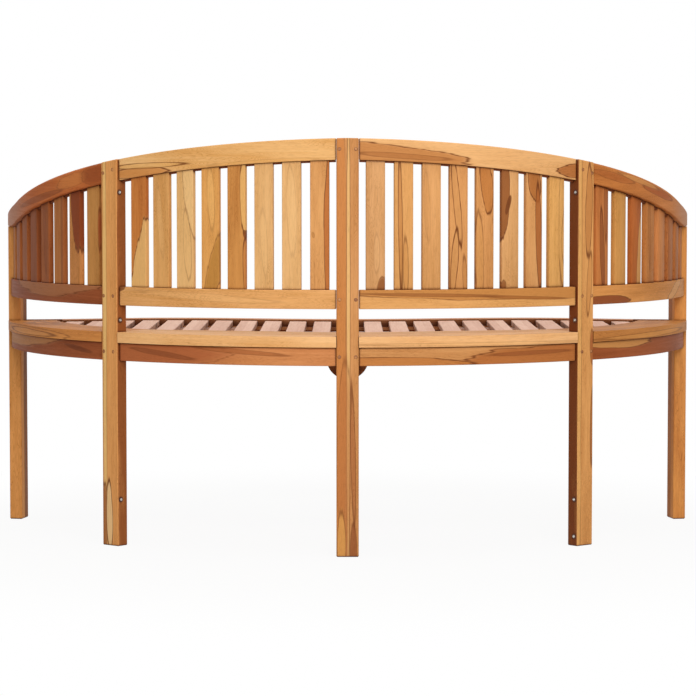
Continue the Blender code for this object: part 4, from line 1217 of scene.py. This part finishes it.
# %% Pins' end grain, and painted shade round the pins and the screw heads
def speckle(tree, scale, detail=2):
    """Even noise on a small piece, with its scale in specks a metre."""
    place = add_node(tree, "TexCoord")["Object"]
    return add_node(tree, "TexNoise", {"Scale": scale, "Detail": detail, "Vector": place})[0]


# The dark ring round each screw head: painted shade
screw_shade, tree, shader = new_finish("teak_drilled_edge")
speck = speckle(tree, 1500)
lay(tree, shader, mixed_colour(tree, speck, "3E1D0E", "5E3018"), spread(tree, speck, 0.3, 0.7, 0.6, 0.8))

material, tree, shader = new_finish("teak_end_grain")
speck = speckle(tree, 1400)
mixed = maths(tree, "MULTIPLY_ADD", speck, 0.6, speckle(tree, 90, 1))
colour = mixed_colour(tree, spread(tree, mixed, 0.55, 1.1), "C4844A", "703A1C")
# Painted shade darkens the pin's eased edge, where it sits in its hole
colour = mixed_colour(tree, painted_shade_in_corners(tree, 0.006), colour, "30140A")
lay(tree, shader, colour, 0.6, speck, distance=0.0002)
for piece in made:
    if "pins" in piece.name or "countersink" in piece.name:
        dress(piece, material if "pins" in piece.name else screw_shade)
print("finishes:", material.name, screw_shade.name)

# %% [markdown]
# The screws are stainless steel, turned and lightly polished; fine marks vary their tone and gloss.

# %% Stainless steel
material, tree, shader = new_finish("stainless_steel_turned")
marks = speckle(tree, 900)
lay(tree, shader, mixed_colour(tree, marks, "D2CFC9", "A9A6A1"), spread(tree, marks, 0.3, 0.7, 0.22, 0.42))
shader.inputs["Metallic"].default_value = 1
for piece in made:
    if "screw" in piece.name:
        dress(piece, material)
print("finish:", material.name)

# %% [markdown]
# The bench stands on a plain pale floor in soft studio light. The camera sees white behind the bench,
# and the floor still takes a faint shadow under the feet, which fades out with distance.


# %% Floor
def seen_by_camera(tree):
    """1 for what the camera sees, also in a gloss or through glass, and 0 for light on the bench."""
    rays = add_node(tree, "LightPath")
    seen = maths(tree, "MAXIMUM", rays["Is Camera Ray"], rays["Is Glossy Ray"])
    return maths(tree, "MAXIMUM", seen, rays["Is Transmission Ray"])


def show_white(tree, kind, share, lit, output):
    """Mix what is lit with plain white, and send the mixture out."""
    white = add_node(tree, kind, {"Color": "FFFFFF", "Strength": 1})[0]
    mixed = add_node(tree, "MixShader", {0: share, 1: lit.outputs[0], 2: white})[0]
    tree.links.new(mixed, tree.nodes[output].inputs["Surface"])


floor = new_shape("floor", bpy.ops.mesh.primitive_plane_add, size=80)
material, tree, shader = new_finish("studio_floor")
lay(tree, shader, "D6D3D0", 0.9)
shader.inputs["Specular IOR Level"].default_value = 0.1
far = length(tree, add_node(tree, "TexCoord")["Object"])
share = maths(tree, "MULTIPLY", seen_by_camera(tree), spread(tree, far, 0.7, 1.5, 0.93, 1.0, "SMOOTHSTEP"))
show_white(tree, "Emission", share, shader, "Material Output")
floor.data.materials.append(material)
print("floor:", material.name)

# %% Surroundings
world = bpy.data.worlds.new("studio")
bpy.context.scene.world = world
world.use_nodes = True
tree = world.node_tree
soft = tree.nodes["Background"]
soft.inputs["Color"].default_value = linear("FBF8F4")
soft.inputs["Strength"].default_value = 0.42
show_white(tree, "Background", seen_by_camera(tree), soft, "World Output")
print("world:", world.name)


# %% Soft boxes
def soft_box(name, place, target, size, power):
    """A square lamp that looks at a point."""
    lamp = bpy.data.objects.new(name, bpy.data.lights.new(name, "AREA"))
    bpy.context.scene.collection.objects.link(lamp)
    lamp.location = place
    lamp.rotation_euler = (Vector(target) - Vector(place)).to_track_quat("-Z", "Y").to_euler()
    lamp.data.size = size
    lamp.data.energy = power
    return lamp


soft_box("key", (-0.7, 4.5, 2.5), (0, 0, 0.45), 2.6, 152)
soft_box("top", (0, 0.3, 3.4), (0, 0, 0.4), 2.4, 40)
